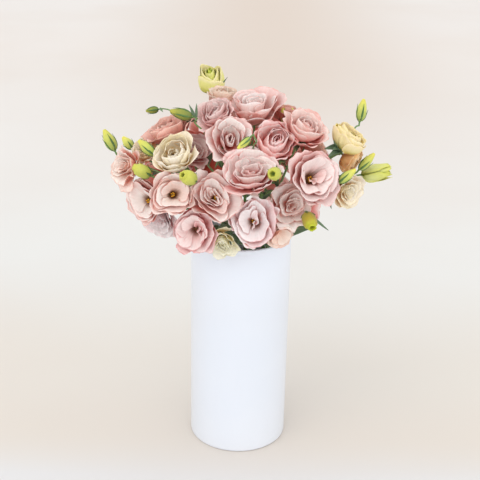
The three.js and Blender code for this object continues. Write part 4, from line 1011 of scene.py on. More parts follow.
def bud_material(name, low, mid, tip, stripe, hollow_tone_and_shade=None):
    """Furled bud: green at the calyx, lime to yellow at the tip, with darker streaks along the folds."""
    t = Tree(name)
    s, shade = t.attr("along"), t.attr("shade")
    pos = t.place()
    blot = t.noise(pos, 210.0, 3.0, 0.55)
    fine = t.noise(pos, 1300.0, 3.0, 0.6)
    s1 = t.math("ADD", s, t.math("MULTIPLY", t.math("SUBTRACT", blot, 0.5), 0.34))
    col = t.ramp(s1, [(0.0, lin(low)), (0.30, lin([0.5 * (a + b) for a, b in zip(low, mid)])), (0.62, lin(mid)), (1.0, lin(tip))])
    col = t.mix(t.math("MULTIPLY", t.ramp01(fine, 0.5, 0.8), 0.35), col, lin(stripe))
    col = t.mix(t.ramp01(shade, 0.0, 1.0, 0.0, 0.22), col, lin(stripe))
    if hollow_tone_and_shade is not None:
        # the twisted hollow at the tip: partly the greener furled petals inside, partly painted shade in the hollow
        deep = t.attr("across")
        col = t.mix(t.ramp01(deep, 0.15, 0.9, 0.0, 0.92), col, lin(hollow_tone_and_shade))
    nrm = t.bump(t.math("ADD", fine, t.math("MULTIPLY", blot, 0.6)), 0.3, 0.0004)
    rough = t.ramp01(fine, 0.2, 0.8, 0.40, 0.56)
    return t.surface(t.principled(col, rough, nrm, Specular_IOR_Level=0.35, Sheen_Weight=0.06))


def glaze_material():
    """White glazed ceramic: very slightly cool and cloudy, with soft pooled waves, pin-fine orange peel and painted
    light towards the rim.
    """
    t = Tree("glaze_white")
    pos = t.place()
    cloud = t.noise(pos, 9.0, 3.0, 0.5)
    speck = t.noise(pos, 260.0, 2.0, 0.5)
    wave = t.noise(t.place((1, 1, 0.35)), 22.0, 2.0, 0.5)
    col = t.mix(t.ramp01(cloud, 0.35, 0.7), (0.722, 0.764, 0.836, 1), (0.746, 0.782, 0.846, 1))
    # painted light: the glaze is lighter and bluer towards the rim, standing in for light under the bouquet's shadow
    high = t.node("ShaderNodeSeparateXYZ")
    t.put(high.inputs[0], pos)
    col = t.mix(t.ramp01(high.outputs[2], 0.19, 0.28), col, (0.790, 0.840, 0.925, 1))
    col = t.mix(t.math("MULTIPLY", t.ramp01(speck, 0.68, 0.80), 0.10), col, (0.62, 0.60, 0.58, 1))
    h = t.math("ADD", t.math("MULTIPLY", wave, 0.8), t.math("MULTIPLY", speck, 0.12))
    nrm = t.bump(h, 0.04, 0.0008)
    rough = t.ramp01(cloud, 0.3, 0.7, 0.28, 0.36)
    return t.surface(t.principled(col, rough, nrm, Specular_IOR_Level=0.5, Coat_Weight=0.30, Coat_Roughness=0.22))


def anther_material():
    t = Tree("anther_gold")
    pos = t.place()
    g = t.noise(pos, 1500.0, 4.0, 0.7)
    col = t.mix(t.ramp01(g, 0.35, 0.7), lin((226, 150, 20)), lin((252, 208, 58)))
    return t.surface(t.principled(col, t.ramp01(g, 0.3, 0.7, 0.7, 0.9), t.bump(g, 0.8, 0.0005)))


def floor_material():
    """Pale cream sweep with painted light and shade from front to back, a painted darker, warmer middle far behind, and
    the faintest mottling.
    """
    t = Tree("floor_cream")
    pos = t.place()
    tc = t.node("ShaderNodeSeparateXYZ")
    t.put(tc.inputs[0], pos)
    y = t.node("ShaderNodeMapRange")
    for key, v in (("Value", tc.outputs[1]), ("From Min", -0.12), ("From Max", 3.4)):
        t.put(y.inputs[key], v)
    # even steps in the picture's height come to longer and longer steps of floor
    col = t.ramp(t.math("POWER", y.outputs[0], 0.6), [(p, lin(c)) for p, c in FLOOR])
    mott = t.noise(pos, 1.2, 3.0, 0.5)
    grain = t.noise(pos, 240.0, 2.0, 0.5)
    # painted shade: darker and warmer in the middle far behind
    mid = t.ramp01(t.math("ABSOLUTE", t.math("SUBTRACT", tc.outputs[0], 0.10)), 0.0, 0.86, 1.0, 0.0)
    far = t.ramp01(tc.outputs[1], 0.7, 2.2)
    col = t.mix(t.math("MULTIPLY", mid, far), col, lin(FLOOR_WARM))
    col = t.mix(t.math("MULTIPLY", t.ramp01(mott, 0.4, 0.7), 0.25), col, lin(FLOOR_WARM))
    return t.surface(t.principled(col, t.ramp01(grain, 0.2, 0.8, 0.86, 0.94), t.bump(grain, 0.05, 0.0005), Specular_IOR_Level=0.15))


# ------------------------------------------------------------------ where each piece is, in millimetres
BLOOMS = {
    "bloom_crown": dict(base=(12.38, -24.67, 436.31), axis=(-0.0661, -0.1830, 0.9809), R=35.39, slot="petal_pink", style='semi', tone='blush', ruffle=1.15, leans=(-0.08, -0.28, 0.95), seed=3),
    "bloom_crown_left": dict(base=(-19.93, 6.63, 440.55), axis=(-0.3944, 0.1951, 0.8980), R=28.83, slot="petal_pink", style='spiral', tone='beige', ruffle=0.95, leans=(0.16, 0.06, 0.98), seed=5, spread=0.78, deep=0.96),
    "bloom_upper_left": dict(base=(-29.63, -45.42, 441.81), axis=(-0.2635, -0.4709, 0.8419), R=21.58, slot="petal_pink", style='spiral', tone='mauve', ruffle=1.2, seed=7),
    "bloom_centre_left": dict(base=(-17.62, -65.84, 423.4), axis=(0.0773, -0.8596, 0.5051), R=27.94, slot="petal_pink", style='spiral', tone='pink', gap=0.09, ruffle=1.05, seed=11, spread=0.95),
    "bloom_centre_right": dict(base=(29.75, -65.66, 418.75), axis=(0.1965, -0.7070, 0.6794), R=25.74, slot="petal_pink", style='ball', tone='rose', ruffle=1.1, leans=(0.26, -0.62, 0.74), seed=13, spread=0.95),
    "bloom_upper_right": dict(base=(66.63, -40.04, 423.42), axis=(0.2962, -0.4927, 0.8183), R=28.42, slot="petal_pink", style='spiral', tone='salmon', ruffle=1.2, seed=17),
    "bloom_centre": dict(base=(9.13, -97.98, 389.35), axis=(0.0244, -0.7542, 0.6562), R=32.21, slot="petal_pink", style='semi', tone='pink2', ruffle=1.15, seed=19, spread=0.95, leans=(0.02, -0.6, 0.8)),
    "bloom_right": dict(base=(72.48, -78.45, 385), axis=(0.4239, -0.8341, 0.3529), R=33.78, slot="petal_pink", style='open', tone='pale_throat', ruffle=1.2, stamens=True, fold_to=(0.5, -1), seed=23, spread=0.92),
    "bloom_mid_left": dict(base=(-29.86, -91.46, 364.41), axis=(0.0488, -0.8807, 0.4712), R=29.01, slot="petal_pink", style='wide', tone='white_throat', ruffle=1.3, stamens=True, seed=29, spread=1.1),
    "bloom_front": dict(base=(13.75, -95.96, 339.21), axis=(0.0615, -0.9299, 0.3627), R=29.25, slot="petal_pink", style='open', tone='lav_throat', ruffle=1.3, stamens=True, fold_to=(1, 0.1), leans=(-0.1, -0.93, 0.35), seed=31, spread=0.88),
    "bloom_front_right": dict(base=(53.26, -72.96, 354.09), axis=(0.2558, -0.9392, 0.2292), R=24.71, slot="petal_pink", style='wide', tone='palesalmon', ruffle=1.2, leans=(0.23, -0.86, 0.45), spread=1.14, seed=38),
    "bloom_cream": dict(base=(-75.19, -75.41, 408.61), axis=(-0.0502, -0.8907, 0.4518), R=24.77, slot="petal_cream", style='ball', tone='cream', ruffle=1.15, leans=(-0.2, -0.66, 0.72), seed=44, spread=0.96),
    "bloom_behind_cream": dict(base=(-59.44, -52.94, 407.34), axis=(0.2620, -0.8169, 0.5137), R=20.17, slot="petal_pink", style='spiral', tone='mauve', ruffle=1.2, seed=43),
    "bloom_shoulder_left": dict(base=(-81.35, -44.27, 414.57), axis=(-0.3756, 0.1028, 0.9211), R=28.53, slot="petal_pink", style='spiral', tone='salmon3', ruffle=1.6, leans=(-0.4, -0.1, 0.91), seed=47),
    "bloom_peach": dict(base=(-108.95, -28.12, 396.82), axis=(-0.4644, -0.7530, 0.4663), R=20.61, slot="petal_cream", style='spiral', tone='peach', ruffle=1.4, leans=(-0.42, -0.6, 0.68), seed=53),
    "bloom_far_left": dict(base=(-125.9, -50.76, 386.72), axis=(-0.7800, -0.5847, 0.2232), R=23.26, slot="petal_pink", style='wide', tone='salmonpeach', ruffle=1.6, seed=59, spread=1.08),
    "bloom_low_left": dict(base=(-105.23, -65.72, 351.78), axis=(-0.4252, -0.8728, 0.2395), R=26.44, slot="petal_pink", style='open', tone='white_throat', ruffle=1.2, stamens=True, bare=True, seed=61, spread=0.9),
    "bloom_low_left_under": dict(base=(-93.85, -47.84, 330.57), axis=(-0.2478, -0.9190, -0.3066), R=24.17, slot="petal_pink", style='wide', tone='lav', ruffle=1.3, seed=67),
    "bloom_throat_left": dict(base=(-78.01, -99.18, 370.23), axis=(0.0001, -0.9045, 0.4264), R=25.95, slot="petal_pink", style='open', tone='warm_throat', ruffle=1.1, stamens=True, bare=True, leans=(0.16, -0.89, 0.42), seed=71, spread=0.93),
    "bloom_front_left": dict(base=(-50.99, -91.46, 327.63), axis=(-0.1497, -0.9625, 0.2262), R=26.23, slot="petal_pink", style='open', tone='lavpink_throat', ruffle=1.3, fold_to=(1, 0.6), seed=73, spread=0.98),
    "bloom_yellow_rim": dict(base=(-22.4, -89.92, 317.22), axis=(0.0155, -0.9230, -0.3845), R=18.35, slot="petal_cream", style='spiral', tone='yellow', ruffle=1.8, spread=1.22, seed=79),
    "bloom_low_right": dict(base=(39.65, -87.24, 328.11), axis=(0.3230, -0.9004, -0.2914), R=20.52, slot="petal_pink", style='open', tone='flatpeach', ruffle=1.0, bare=True, spread=0.82, seed=83),
    "bloom_far_right": dict(base=(119.34, -38.72, 412.49), axis=(0.2571, -0.5355, 0.8044), R=22.07, slot="petal_cream", style='ball', tone='butter', ruffle=0.9, leans=(0.42, -0.14, 0.88), deep=1.16, spread=0.92, roll=0.5, seed=89),
    "bloom_far_right_under": dict(base=(118.99, -30.71, 401.77), axis=(0.7901, -0.3830, -0.4787), R=18.46, slot="petal_cream", style='ball', tone='orange', ruffle=1.0, seed=97),
    "bloom_low_right_cream": dict(base=(116.78, -61.14, 370.89), axis=(0.4733, -0.8801, 0.0369), R=19.57, slot="petal_cream", style='wide', tone='creampeach', ruffle=1.3, leans=(0.5, -0.86, -0.04), spread=1.08, seed=101),
    "bloom_crown_right": dict(base=(48.77, -11.59, 433.51), axis=(0.1408, 0.1702, 0.9753), R=20.57, slot="petal_pink", style='spiral', tone='rosedark', ruffle=1.2, seed=103),
    "bloom_back_crown": dict(base=(3.79, 48.07, 407.33), axis=(0.0502, 0.5020, 0.8634), R=33.00, slot="petal_pink", style='semi', tone='blush', ruffle=1.2, seed=107),
    "bloom_back_top_left": dict(base=(-39.99, 50.01, 393.89), axis=(-0.3549, 0.7098, 0.6084), R=28.00, slot="petal_pink", style='spiral', tone='salmon', ruffle=1.2, seed=109),
    "bloom_back_top_right": dict(base=(46.45, 46.15, 396.76), axis=(0.4027, 0.7048, 0.5840), R=28.00, slot="petal_pink", style='spiral', tone='pink', ruffle=1.1, seed=113),
    "bloom_side_left_high": dict(base=(-79.41, 16.65, 388.63), axis=(-0.7675, 0.3070, 0.5628), R=26.00, slot="petal_pink", style='semi', tone='pink2', ruffle=1.2, seed=127),
    "bloom_side_right_high": dict(base=(75.03, 15.43, 386.85), axis=(0.7317, 0.3049, 0.6097), R=25.00, slot="petal_pink", style='spiral', tone='salmon3', ruffle=1.2, seed=131),
    "bloom_back_centre": dict(base=(0, 84.61, 362), axis=(0.0000, 0.9794, 0.2019), R=33.00, slot="petal_pink", style='open', tone='pale_throat', ruffle=1.1, stamens=True, seed=137),
    "bloom_back_left": dict(base=(-52.56, 68.51, 360.1), axis=(-0.5097, 0.8359, 0.2039), R=31.00, slot="petal_pink", style='spiral', tone='pink', gap=0.08, ruffle=1.1, seed=139),
    "bloom_back_right": dict(base=(50.64, 70.46, 359.88), axis=(0.5032, 0.8353, 0.2214), R=31.00, slot="petal_pink", style='semi', tone='blush', ruffle=1.2, seed=149),
    "bloom_side_left": dict(base=(-92.3, 30.77, 356.84), axis=(-0.9376, 0.3327, 0.1008), R=29.00, slot="petal_pink", style='spiral', tone='salmon2', ruffle=1.2, seed=151),
    "bloom_side_right": dict(base=(85.97, 31.38, 350.61), axis=(0.9213, 0.3805, 0.0801), R=29.00, slot="petal_pink", style='open', tone='lav_throat', ruffle=1.1, stamens=True, seed=157),
    "bloom_back_low_left": dict(base=(-70.81, 42.93, 316.47), axis=(-0.8144, 0.5599, -0.1527), R=27.00, slot="petal_pink", style='semi', tone='lav', ruffle=1.2, seed=163),
    "bloom_back_low_mid_left": dict(base=(-29.42, 72.98, 323.1), axis=(-0.2542, 0.9455, -0.2033), R=30.00, slot="petal_pink", style='open', tone='warm_throat', ruffle=1.1, stamens=True, seed=167),
    "bloom_back_low_mid_right": dict(base=(27.27, 74.41, 324.05), axis=(0.2542, 0.9455, -0.2033), R=31.00, slot="petal_pink", style='spiral', tone='blush', ruffle=1.2, seed=173),
    "bloom_back_low_right": dict(base=(68.47, 42.36, 312.54), axis=(0.8051, 0.5736, -0.1510), R=28.00, slot="petal_pink", style='spiral', tone='rose', ruffle=1.1, seed=179),
}
BUDS = {
    "bud_far_left": dict(base=(-159.87, 18.51, 385.39), axis=(-0.4682, 0.2413, 0.8500), R=7.22, H=29.33, kind="bud", stem="stem_left", merged=False, skin='lime', sepals=0.8),
    "bud_left_small": dict(base=(-132.64, -24.8, 401.41), axis=(-0.6423, 0.2911, 0.7090), R=5.70, H=18.78, kind="bud", stem="stem_left", merged=True, skin='lime', sepals=0.6),
    "bud_left_upper": dict(base=(-100.9, -77.48, 411.46), axis=(-0.7624, 0.1001, 0.6393), R=6.18, H=25.21, kind="bud", stem="stem_left_front", merged=False, skin='lime', sepals=0.75),
    "bud_left_round": dict(base=(-105.13, -88.85, 390.29), axis=(-0.8707, -0.0711, 0.4867), R=7.65, H=23.04, kind="bud", stem="stem_left", merged=False, skin='yellow', sepals=0.4, mouth=0.34),
    "bud_left_inner": dict(base=(-54.15, -114.38, 394.26), axis=(-0.4921, -0.7159, 0.4953), R=8.33, H=25.00, kind="bud", stem="stem_left_front", merged=False, skin='yellow', sepals=0.35, mouth=0.4),
    "bud_arch_tip": dict(base=(-104.24, 13.43, 440.89), axis=(-0.9760, -0.1669, -0.1397), R=4.21, H=15.56, kind="bud", stem="stem_back_left", merged=True, skin='olive', sepals=0.95),
    "bud_arch": dict(base=(-59.28, -55.55, 451.16), axis=(-0.9652, -0.0017, 0.2614), R=6.43, H=26.44, kind="bud", stem="stem_back_left", merged=True, skin='olive', sepals=0.95),
    "bud_nodding": dict(base=(7.29, -111.82, 444.12), axis=(-0.7006, -0.4863, -0.5222), R=4.18, H=19.00, kind="bud", stem="stem_centre", merged=True, skin='lime', sepals=0.8),
    "bud_centre": dict(base=(37.32, -129.26, 409.04), axis=(-0.2268, -0.9294, 0.2912), R=7.49, H=24.00, kind="bud", stem="stem_centre", merged=False, skin='yellow', sepals=0.5, mouth=0.52),
    "bud_right_inner": dict(base=(110.87, -85.51, 385.05), axis=(0.7668, 0.1498, 0.6242), R=5.48, H=24.75, kind="bud", stem="stem_right", merged=False, skin='lime', sepals=0.6),
    "bud_right_upper": dict(base=(138.67, -40.1, 386.4), axis=(0.6680, 0.1891, 0.7197), R=5.59, H=26.48, kind="bud", stem="stem_right", merged=True, skin='lime', sepals=0.7),
    "bud_right_large": dict(base=(143.08, -20.13, 373.1), axis=(0.9817, -0.0294, 0.1883), R=11.52, H=37.45, kind="open", stem="stem_right", merged=False, skin='opening', tone='bud_open', point=0.5, ruffle=1.4, longer=1.09),
    "bud_right_tall": dict(base=(146.17, 48.62, 421.17), axis=(0.1681, 0.3755, 0.9114), R=6.56, H=28.75, kind="bud", stem="stem_right", merged=False, skin='lime', sepals=0.7),
    "bud_low_right": dict(base=(74.46, -100.86, 351.47), axis=(0.2109, -0.9321, -0.2945), R=8.23, H=27.00, kind="bud", stem="stem_right_front", merged=False, skin='ochre', sepals=0.4, mouth=0.46),
    "bud_opening_top": dict(base=(-37.54, 65.1, 449.35), axis=(-0.1506, 0.2818, 0.9476), R=15.48, H=33.95, kind="open", stem="stem_back_left", merged=False, skin='opening', tone='bud_blush', form='egg', leans=(-0.14, -0.1, 0.97), slant=0.38, longer=0.92, ruffle=0.8),
}
STEMS = {
    "stem_right": dict(
        foot=(34.47, -28.93, 6.65),
        axis=[(39.61, 5.57, 282), (43.69, 2.86, 297.6), (47.77, 0.14, 313.2), (51.84, -2.57, 328.8), (55.92, -5.29, 344.4), (60, -8, 360)],
        stalks=[
            ("bloom_far_right", 1.35, [(60, -8, 360), (70.46, -12.9, 368.52), (80.93, -17.81, 377.04), (91.39, -22.71, 385.56), (101.85, -27.62, 394.08), (112.31, -32.52, 402.6), (117.54, -34.98, 406.86), (119.26, -38.56, 412.25)]),
            ("bloom_far_right_under", 1.35, [(60, -8, 360), (69.72, -11.64, 368.21), (79.43, -15.28, 376.42), (89.15, -18.92, 384.63), (98.87, -22.56, 392.83), (108.6, -26.2, 401.02), (113.46, -28.02, 405.12), (118.75, -30.59, 401.91)]),
            ("bloom_low_right_cream", 1.35, [(57.45, -6.3, 350.25), (67.63, -15.15, 353.96), (77.82, -24, 357.67), (88, -32.85, 361.38), (98.19, -41.7, 365.08), (108.37, -50.55, 368.78), (113.47, -54.98, 370.63), (116.64, -60.88, 370.88)]),
            ("bud_right_upper", 1.10, [(60, -8, 360), (73.56, -14.05, 363.99), (87.12, -20.09, 367.99), (100.66, -26.13, 371.9), (113.88, -32.14, 375.02), (126.82, -37.88, 378.91), (134.66, -41.23, 382.09), (138.3, -40.2, 386)]),
            ("bud_right_large", 1.10, [(57.45, -6.3, 350.25), (71.95, -8.79, 354.2), (86.44, -11.27, 358.16), (100.94, -13.75, 362.11), (115.44, -16.23, 366.05), (129.94, -18.72, 370), (137.19, -19.96, 371.97), (142.54, -20.11, 373)]),
            ("bud_right_inner", 1.10, [(60, -8, 360), (68.22, -21.94, 363.79), (76.34, -35.69, 367.53), (84.24, -49.08, 371.17), (91.84, -61.97, 374.67), (99.15, -74.35, 378.03), (106.27, -86.41, 381.31), (110.45, -85.59, 384.71)]),
            ("bud_right_tall", 1.10, [(60, -8, 360), (77.86, 1.66, 367.41), (95.75, 11.21, 374.94), (110.79, 20.99, 385.13), (122.33, 30.07, 395.82), (133.46, 38.63, 406.39), (144.25, 46.83, 416.82), (145.16, 46.37, 415.7), (146.08, 48.41, 420.67)]),
            ("bloom_side_right_high", 1.35, [(60, -8, 360), (61.8, -4.13, 364.11), (63.6, -0.26, 368.21), (65.4, 3.61, 372.32), (67.2, 7.48, 376.43), (69, 11.36, 380.53), (69.9, 13.29, 382.59), (74.81, 15.34, 386.67)]),
        ],
        leaves=[
            ((44.51, 2.32, 300.72), (73.51, 26.65, 304.03), (-0.07, -0.06, 1), 13),
            ((50.21, -1.49, 322.56), (79.21, 22.85, 325.87), (-0.07, -0.06, 1), 13),
        ],
    ),
    "stem_right_front": dict(
        foot=(7.81, -44.32, 6.65),
        axis=[(33.92, -21.2, 282), (35.54, -22.96, 296), (37.15, -24.72, 310), (38.77, -26.48, 324), (40.38, -28.24, 338), (42, -30, 352)],
        stalks=[
            ("bloom_upper_right", 1.35, [(42, -30, 352), (46.1, -31.2, 363.95), (50.2, -32.39, 375.89), (54.3, -33.59, 387.84), (58.41, -34.79, 399.78), (62.51, -35.99, 411.72), (64.56, -36.59, 417.7), (66.54, -39.89, 423.18)]),
            ("bloom_right", 1.35, [(42, -30, 352), (47, -37.75, 357.55), (52, -45.49, 363.11), (57, -53.24, 368.66), (62.01, -60.99, 374.21), (67.01, -68.74, 379.75), (69.51, -72.62, 382.53), (72.35, -78.2, 384.89)]),
            ("bloom_crown_right", 1.35, [(42, -30, 352), (43.05, -26.87, 365.58), (44.1, -23.75, 379.16), (45.15, -20.62, 392.74), (46.21, -17.48, 406.31), (47.26, -14.35, 419.89), (47.78, -12.79, 426.68), (48.73, -11.64, 433.21)]),
            ("bud_low_right", 1.10, [(39.98, -27.8, 334.5), (48.74, -41.14, 336.75), (57.75, -54.63, 338.88), (67.14, -68.35, 340.84), (76.7, -82.23, 342.72), (78.35, -92.85, 347.73), (73.19, -95.27, 353.23), (74.34, -100.35, 351.63)]),
        ],
        leaves=[
            ((35.86, -23.31, 298.8), (54.79, -56.1, 302.11), (-0.04, 0.07, 1), 13),
            ((38.12, -25.78, 318.4), (63.82, -47.34, 336.24), (-0.36, 0.3, 0.88), 13),
            ((35.5, -23, 296), (77.5, -25.5, 301), (0.1, -0.35, 0.93), 11),
        ],
    ),
    "stem_front_right": dict(
        foot=(-22.5, -38.97, 6.65),
        axis=[(12.36, -38.04, 282), (14.29, -38.83, 290.8), (16.22, -39.63, 299.6), (18.15, -40.42, 308.4), (20.07, -41.21, 317.2), (22, -42, 326)],
        stalks=[
            ("bloom_front_right", 1.35, [(22, -42, 326), (27.36, -46.43, 330.82), (32.72, -50.86, 335.64), (38.07, -55.3, 340.45), (43.43, -59.73, 345.27), (48.79, -64.17, 350.08), (51.47, -66.39, 352.49), (53.18, -72.68, 354.02)]),
            ("bloom_low_right", 1.35, [(17.18, -40.02, 304), (20.85, -47.46, 308.76), (24.53, -54.89, 313.52), (28.2, -62.33, 318.28), (31.88, -69.77, 323.03), (35.55, -77.22, 327.78), (37.39, -80.94, 330.15), (39.55, -86.97, 328.2)]),
            ("bloom_front", 1.35, [(19.59, -41.01, 315), (18.45, -49.81, 318.94), (17.31, -58.62, 322.89), (16.17, -67.42, 326.83), (15.03, -76.23, 330.77), (13.89, -85.04, 334.7), (13.32, -89.45, 336.67), (13.73, -95.68, 339.1)]),
        ],
        leaves=[
            ((14.68, -38.99, 292.56), (33.6, -71.77, 295.87), (-0.04, 0.07, 1), 13),
            ((17.38, -40.1, 304.88), (46.38, -64.44, 308.19), (-0.07, 0.06, 1), 13),
        ],
    ),
    "stem_centre": dict(
        foot=(34.47, 28.93, 6.65),
        axis=[(1.4, 39.98, 282), (2.32, 28.78, 300), (3.24, 17.58, 318), (4.16, 6.39, 336), (5.08, -4.81, 354), (6, -16, 372)],
        stalks=[
            ("bloom_crown", 1.35, [(6, -16, 372), (7.25, -17.35, 382.44), (8.49, -18.69, 392.89), (9.73, -20.03, 403.33), (10.98, -21.38, 413.77), (12.22, -22.72, 424.22), (12.84, -23.39, 429.44), (12.4, -24.61, 436.01)]),
            ("bloom_centre_right", 1.35, [(6, -16, 372), (10.07, -24.13, 379.63), (14.13, -32.26, 387.27), (18.2, -40.39, 394.9), (22.27, -48.52, 402.54), (26.34, -56.65, 410.17), (28.37, -60.71, 413.99), (29.69, -65.45, 418.54)]),
            ("bloom_centre", 1.35, [(5.42, -9, 360.75), (6.07, -24.22, 365.12), (6.71, -39.44, 369.48), (7.35, -54.65, 373.85), (7.99, -69.87, 378.21), (8.63, -85.09, 382.58), (8.96, -92.71, 384.76), (9.12, -97.76, 389.16)]),
            ("bloom_centre_left", 1.35, [(6, -16, 372), (1.61, -23.97, 380.7), (-2.78, -31.94, 389.41), (-7.18, -39.9, 398.11), (-11.57, -47.87, 406.81), (-15.96, -55.84, 415.51), (-18.16, -59.83, 419.86), (-17.64, -65.58, 423.25)]),
            ("bud_nodding", 1.10, [(6, -16, 372), (7.41, -34.24, 384.97), (8.74, -52.33, 397.91), (9.92, -70.06, 410.69), (10.98, -87.18, 423.1), (12.74, -101.84, 434.03), (14.75, -111.86, 441.17), (11.89, -112.34, 445.26), (11.49, -108.9, 447.25), (7.68, -111.55, 444.41)]),
            ("bud_centre", 1.10, [(6, -16, 372), (12.9, -34.88, 378.01), (20.02, -53.57, 383.96), (27.51, -71.91, 389.83), (35.43, -89.82, 395.63), (43.4, -107.31, 401.42), (38.69, -123.69, 407.29), (37.44, -128.75, 408.88)]),
        ],
        leaves=[
            ((2.5, 26.54, 303.6), (9.08, 63.82, 306.91), (-0.01, -0.09, 1), 13),
            ((3.79, 10.87, 328.8), (10.37, 48.15, 332.11), (-0.01, -0.09, 1), 13),
        ],
    ),
    "stem_front_left": dict(
        foot=(-42.29, -15.39, 6.65),
        axis=[(-14.98, -37.09, 282), (-15.99, -38.47, 291.2), (-16.99, -39.85, 300.4), (-17.99, -41.24, 309.6), (-19, -42.62, 318.8), (-20, -44, 328)],
        stalks=[
            ("bloom_mid_left", 1.35, [(-20, -44, 328), (-21.86, -51.51, 334.02), (-23.71, -59.01, 340.05), (-25.57, -66.52, 346.07), (-27.42, -74.03, 352.09), (-29.27, -81.54, 358.11), (-30.2, -85.3, 361.11), (-29.87, -91.2, 364.27)]),
            ("bloom_yellow_rim", 1.35, [(-17.49, -40.54, 305), (-18.4, -48.34, 307.72), (-19.31, -56.15, 310.43), (-20.22, -63.95, 313.14), (-21.13, -71.76, 315.85), (-22.05, -79.56, 318.56), (-22.5, -83.46, 319.91), (-22.4, -89.64, 317.34)]),
            ("bloom_front_left", 1.35, [(-17.49, -40.54, 305), (-23.39, -48.57, 308.83), (-29.29, -56.6, 312.66), (-35.18, -64.64, 316.49), (-41.09, -72.67, 320.31), (-46.99, -80.7, 324.14), (-49.94, -84.72, 326.05), (-50.94, -91.17, 327.56)]),
        ],
        leaves=[
            ((-16.19, -38.75, 293.04), (-35.12, -71.53, 296.35), (0.04, 0.07, 1), 13),
            ((-17.59, -40.68, 305.92), (-46.59, -65.02, 309.23), (0.07, 0.06, 1), 13),
        ],
    ),
    "stem_left_front": dict(
        foot=(-42.29, 15.39, 6.65),
        axis=[(-35.32, -18.78, 282), (-37.45, -21.82, 296.8), (-39.59, -24.87, 311.6), (-41.72, -27.91, 326.4), (-43.86, -30.95, 341.2), (-46, -34, 356)],
        stalks=[
            ("bloom_cream", 1.35, [(-46, -34, 356), (-51.24, -40.39, 364.99), (-56.49, -46.78, 373.99), (-61.73, -53.18, 382.98), (-66.98, -59.58, 391.96), (-72.22, -65.98, 400.95), (-74.84, -69.18, 405.45), (-75.18, -75.14, 408.47)]),
            ("bloom_behind_cream", 1.35, [(-46, -34, 356), (-48.78, -36.4, 364.68), (-51.56, -38.8, 373.36), (-54.34, -41.2, 382.04), (-57.11, -43.61, 390.72), (-59.89, -46.01, 399.4), (-61.28, -47.22, 403.74), (-59.52, -52.69, 407.19)]),
            ("bloom_throat_left", 1.35, [(-44.66, -32.1, 346.75), (-50.73, -43.14, 350.48), (-56.79, -54.18, 354.21), (-62.85, -65.23, 357.94), (-68.92, -76.27, 361.66), (-74.98, -87.32, 365.39), (-78.01, -92.85, 367.25), (-78.01, -98.91, 370.11)]),
            ("bud_left_inner", 1.10, [(-46, -34, 356), (-47.4, -47.36, 362.56), (-48.93, -60.54, 369.15), (-50.68, -73.39, 375.79), (-52.68, -85.84, 382.48), (-54.74, -97.97, 389.13), (-51.2, -110.09, 391.29), (-53.88, -113.99, 393.99)]),
            ("bud_left_upper", 1.10, [(-46, -34, 356), (-55.15, -42.02, 365.39), (-64.29, -50.03, 374.78), (-73.44, -58.05, 384.16), (-82.59, -66.06, 393.55), (-91.75, -74.08, 402.93), (-96.32, -78.08, 407.62), (-100.48, -77.54, 411.11)]),
        ],
        leaves=[
            ((-37.88, -22.43, 299.76), (-56.81, -55.21, 303.07), (0.04, 0.07, 1), 13),
            ((-40.87, -26.69, 320.48), (-47.44, -63.97, 323.79), (0.01, 0.09, 1), 13),
        ],
    ),
    "stem_left": dict(
        foot=(-22.5, 38.97, 6.65),
        axis=[(-39.13, 8.32, 282), (-43.3, 4.66, 296), (-47.47, 0.99, 310), (-51.65, -2.67, 324), (-55.82, -6.34, 338), (-60, -10, 352)],
        stalks=[
            ("bloom_peach", 1.35, [(-60, -10, 352), (-68.31, -12.33, 359.56), (-76.61, -14.67, 367.11), (-84.92, -17, 374.67), (-93.23, -19.34, 382.23), (-101.54, -21.68, 389.78), (-105.7, -22.84, 393.56), (-108.81, -27.89, 396.68)]),
            ("bloom_far_left", 1.35, [(-60, -10, 352), (-70.74, -16.52, 357.89), (-81.35, -22.95, 363.71), (-91.67, -29.21, 369.37), (-101.6, -35.23, 374.82), (-111.15, -41.02, 380.05), (-120.44, -46.66, 385.15), (-125.67, -50.58, 386.65)]),
            ("bloom_low_left", 1.35, [(-52.17, -3.13, 325.75), (-61.28, -13.4, 330.18), (-70.38, -23.66, 334.62), (-79.48, -33.93, 339.04), (-88.59, -44.2, 343.47), (-97.7, -54.47, 347.89), (-102.26, -59.61, 350.1), (-105.11, -65.46, 351.71)]),
            ("bloom_low_left_under", 1.35, [(-49.56, -0.84, 317), (-57.3, -8.21, 319.87), (-65.03, -15.58, 322.73), (-72.76, -22.96, 325.59), (-80.51, -30.34, 328.44), (-88.24, -37.72, 331.29), (-92.11, -41.41, 332.72), (-93.77, -47.56, 330.66)]),
            ("bloom_shoulder_left", 1.35, [(-60, -10, 352), (-63.4, -16.36, 362.2), (-66.81, -22.73, 372.41), (-70.21, -29.09, 382.61), (-73.62, -35.45, 392.82), (-77.02, -41.81, 403.02), (-78.72, -44.99, 408.13), (-81.24, -44.3, 414.3)]),
            ("bud_far_left", 1.10, [(-60, -10, 352), (-79.41, -4.18, 357.36), (-98.83, 1.63, 362.71), (-118.25, 7.44, 368.07), (-137.66, 13.25, 373.42), (-157.08, 19.06, 378.77), (-157.07, 17.06, 380.29), (-159.61, 18.38, 384.92)]),
            ("bud_left_small", 1.10, [(-60, -10, 352), (-72.5, -13.01, 360.21), (-85.01, -16.03, 368.42), (-97.51, -19.04, 376.63), (-110.02, -22.04, 384.84), (-122.53, -25.05, 393.05), (-128.78, -26.55, 397.15), (-132.29, -24.96, 401.02)]),
            ("bud_left_round", 1.10, [(-60, -10, 352), (-67.25, -24.26, 358.43), (-74.5, -38.52, 364.87), (-81.76, -52.78, 371.3), (-89.01, -67.04, 377.73), (-96.27, -81.3, 384.16), (-99.9, -88.42, 387.37), (-104.65, -88.81, 390.02)]),
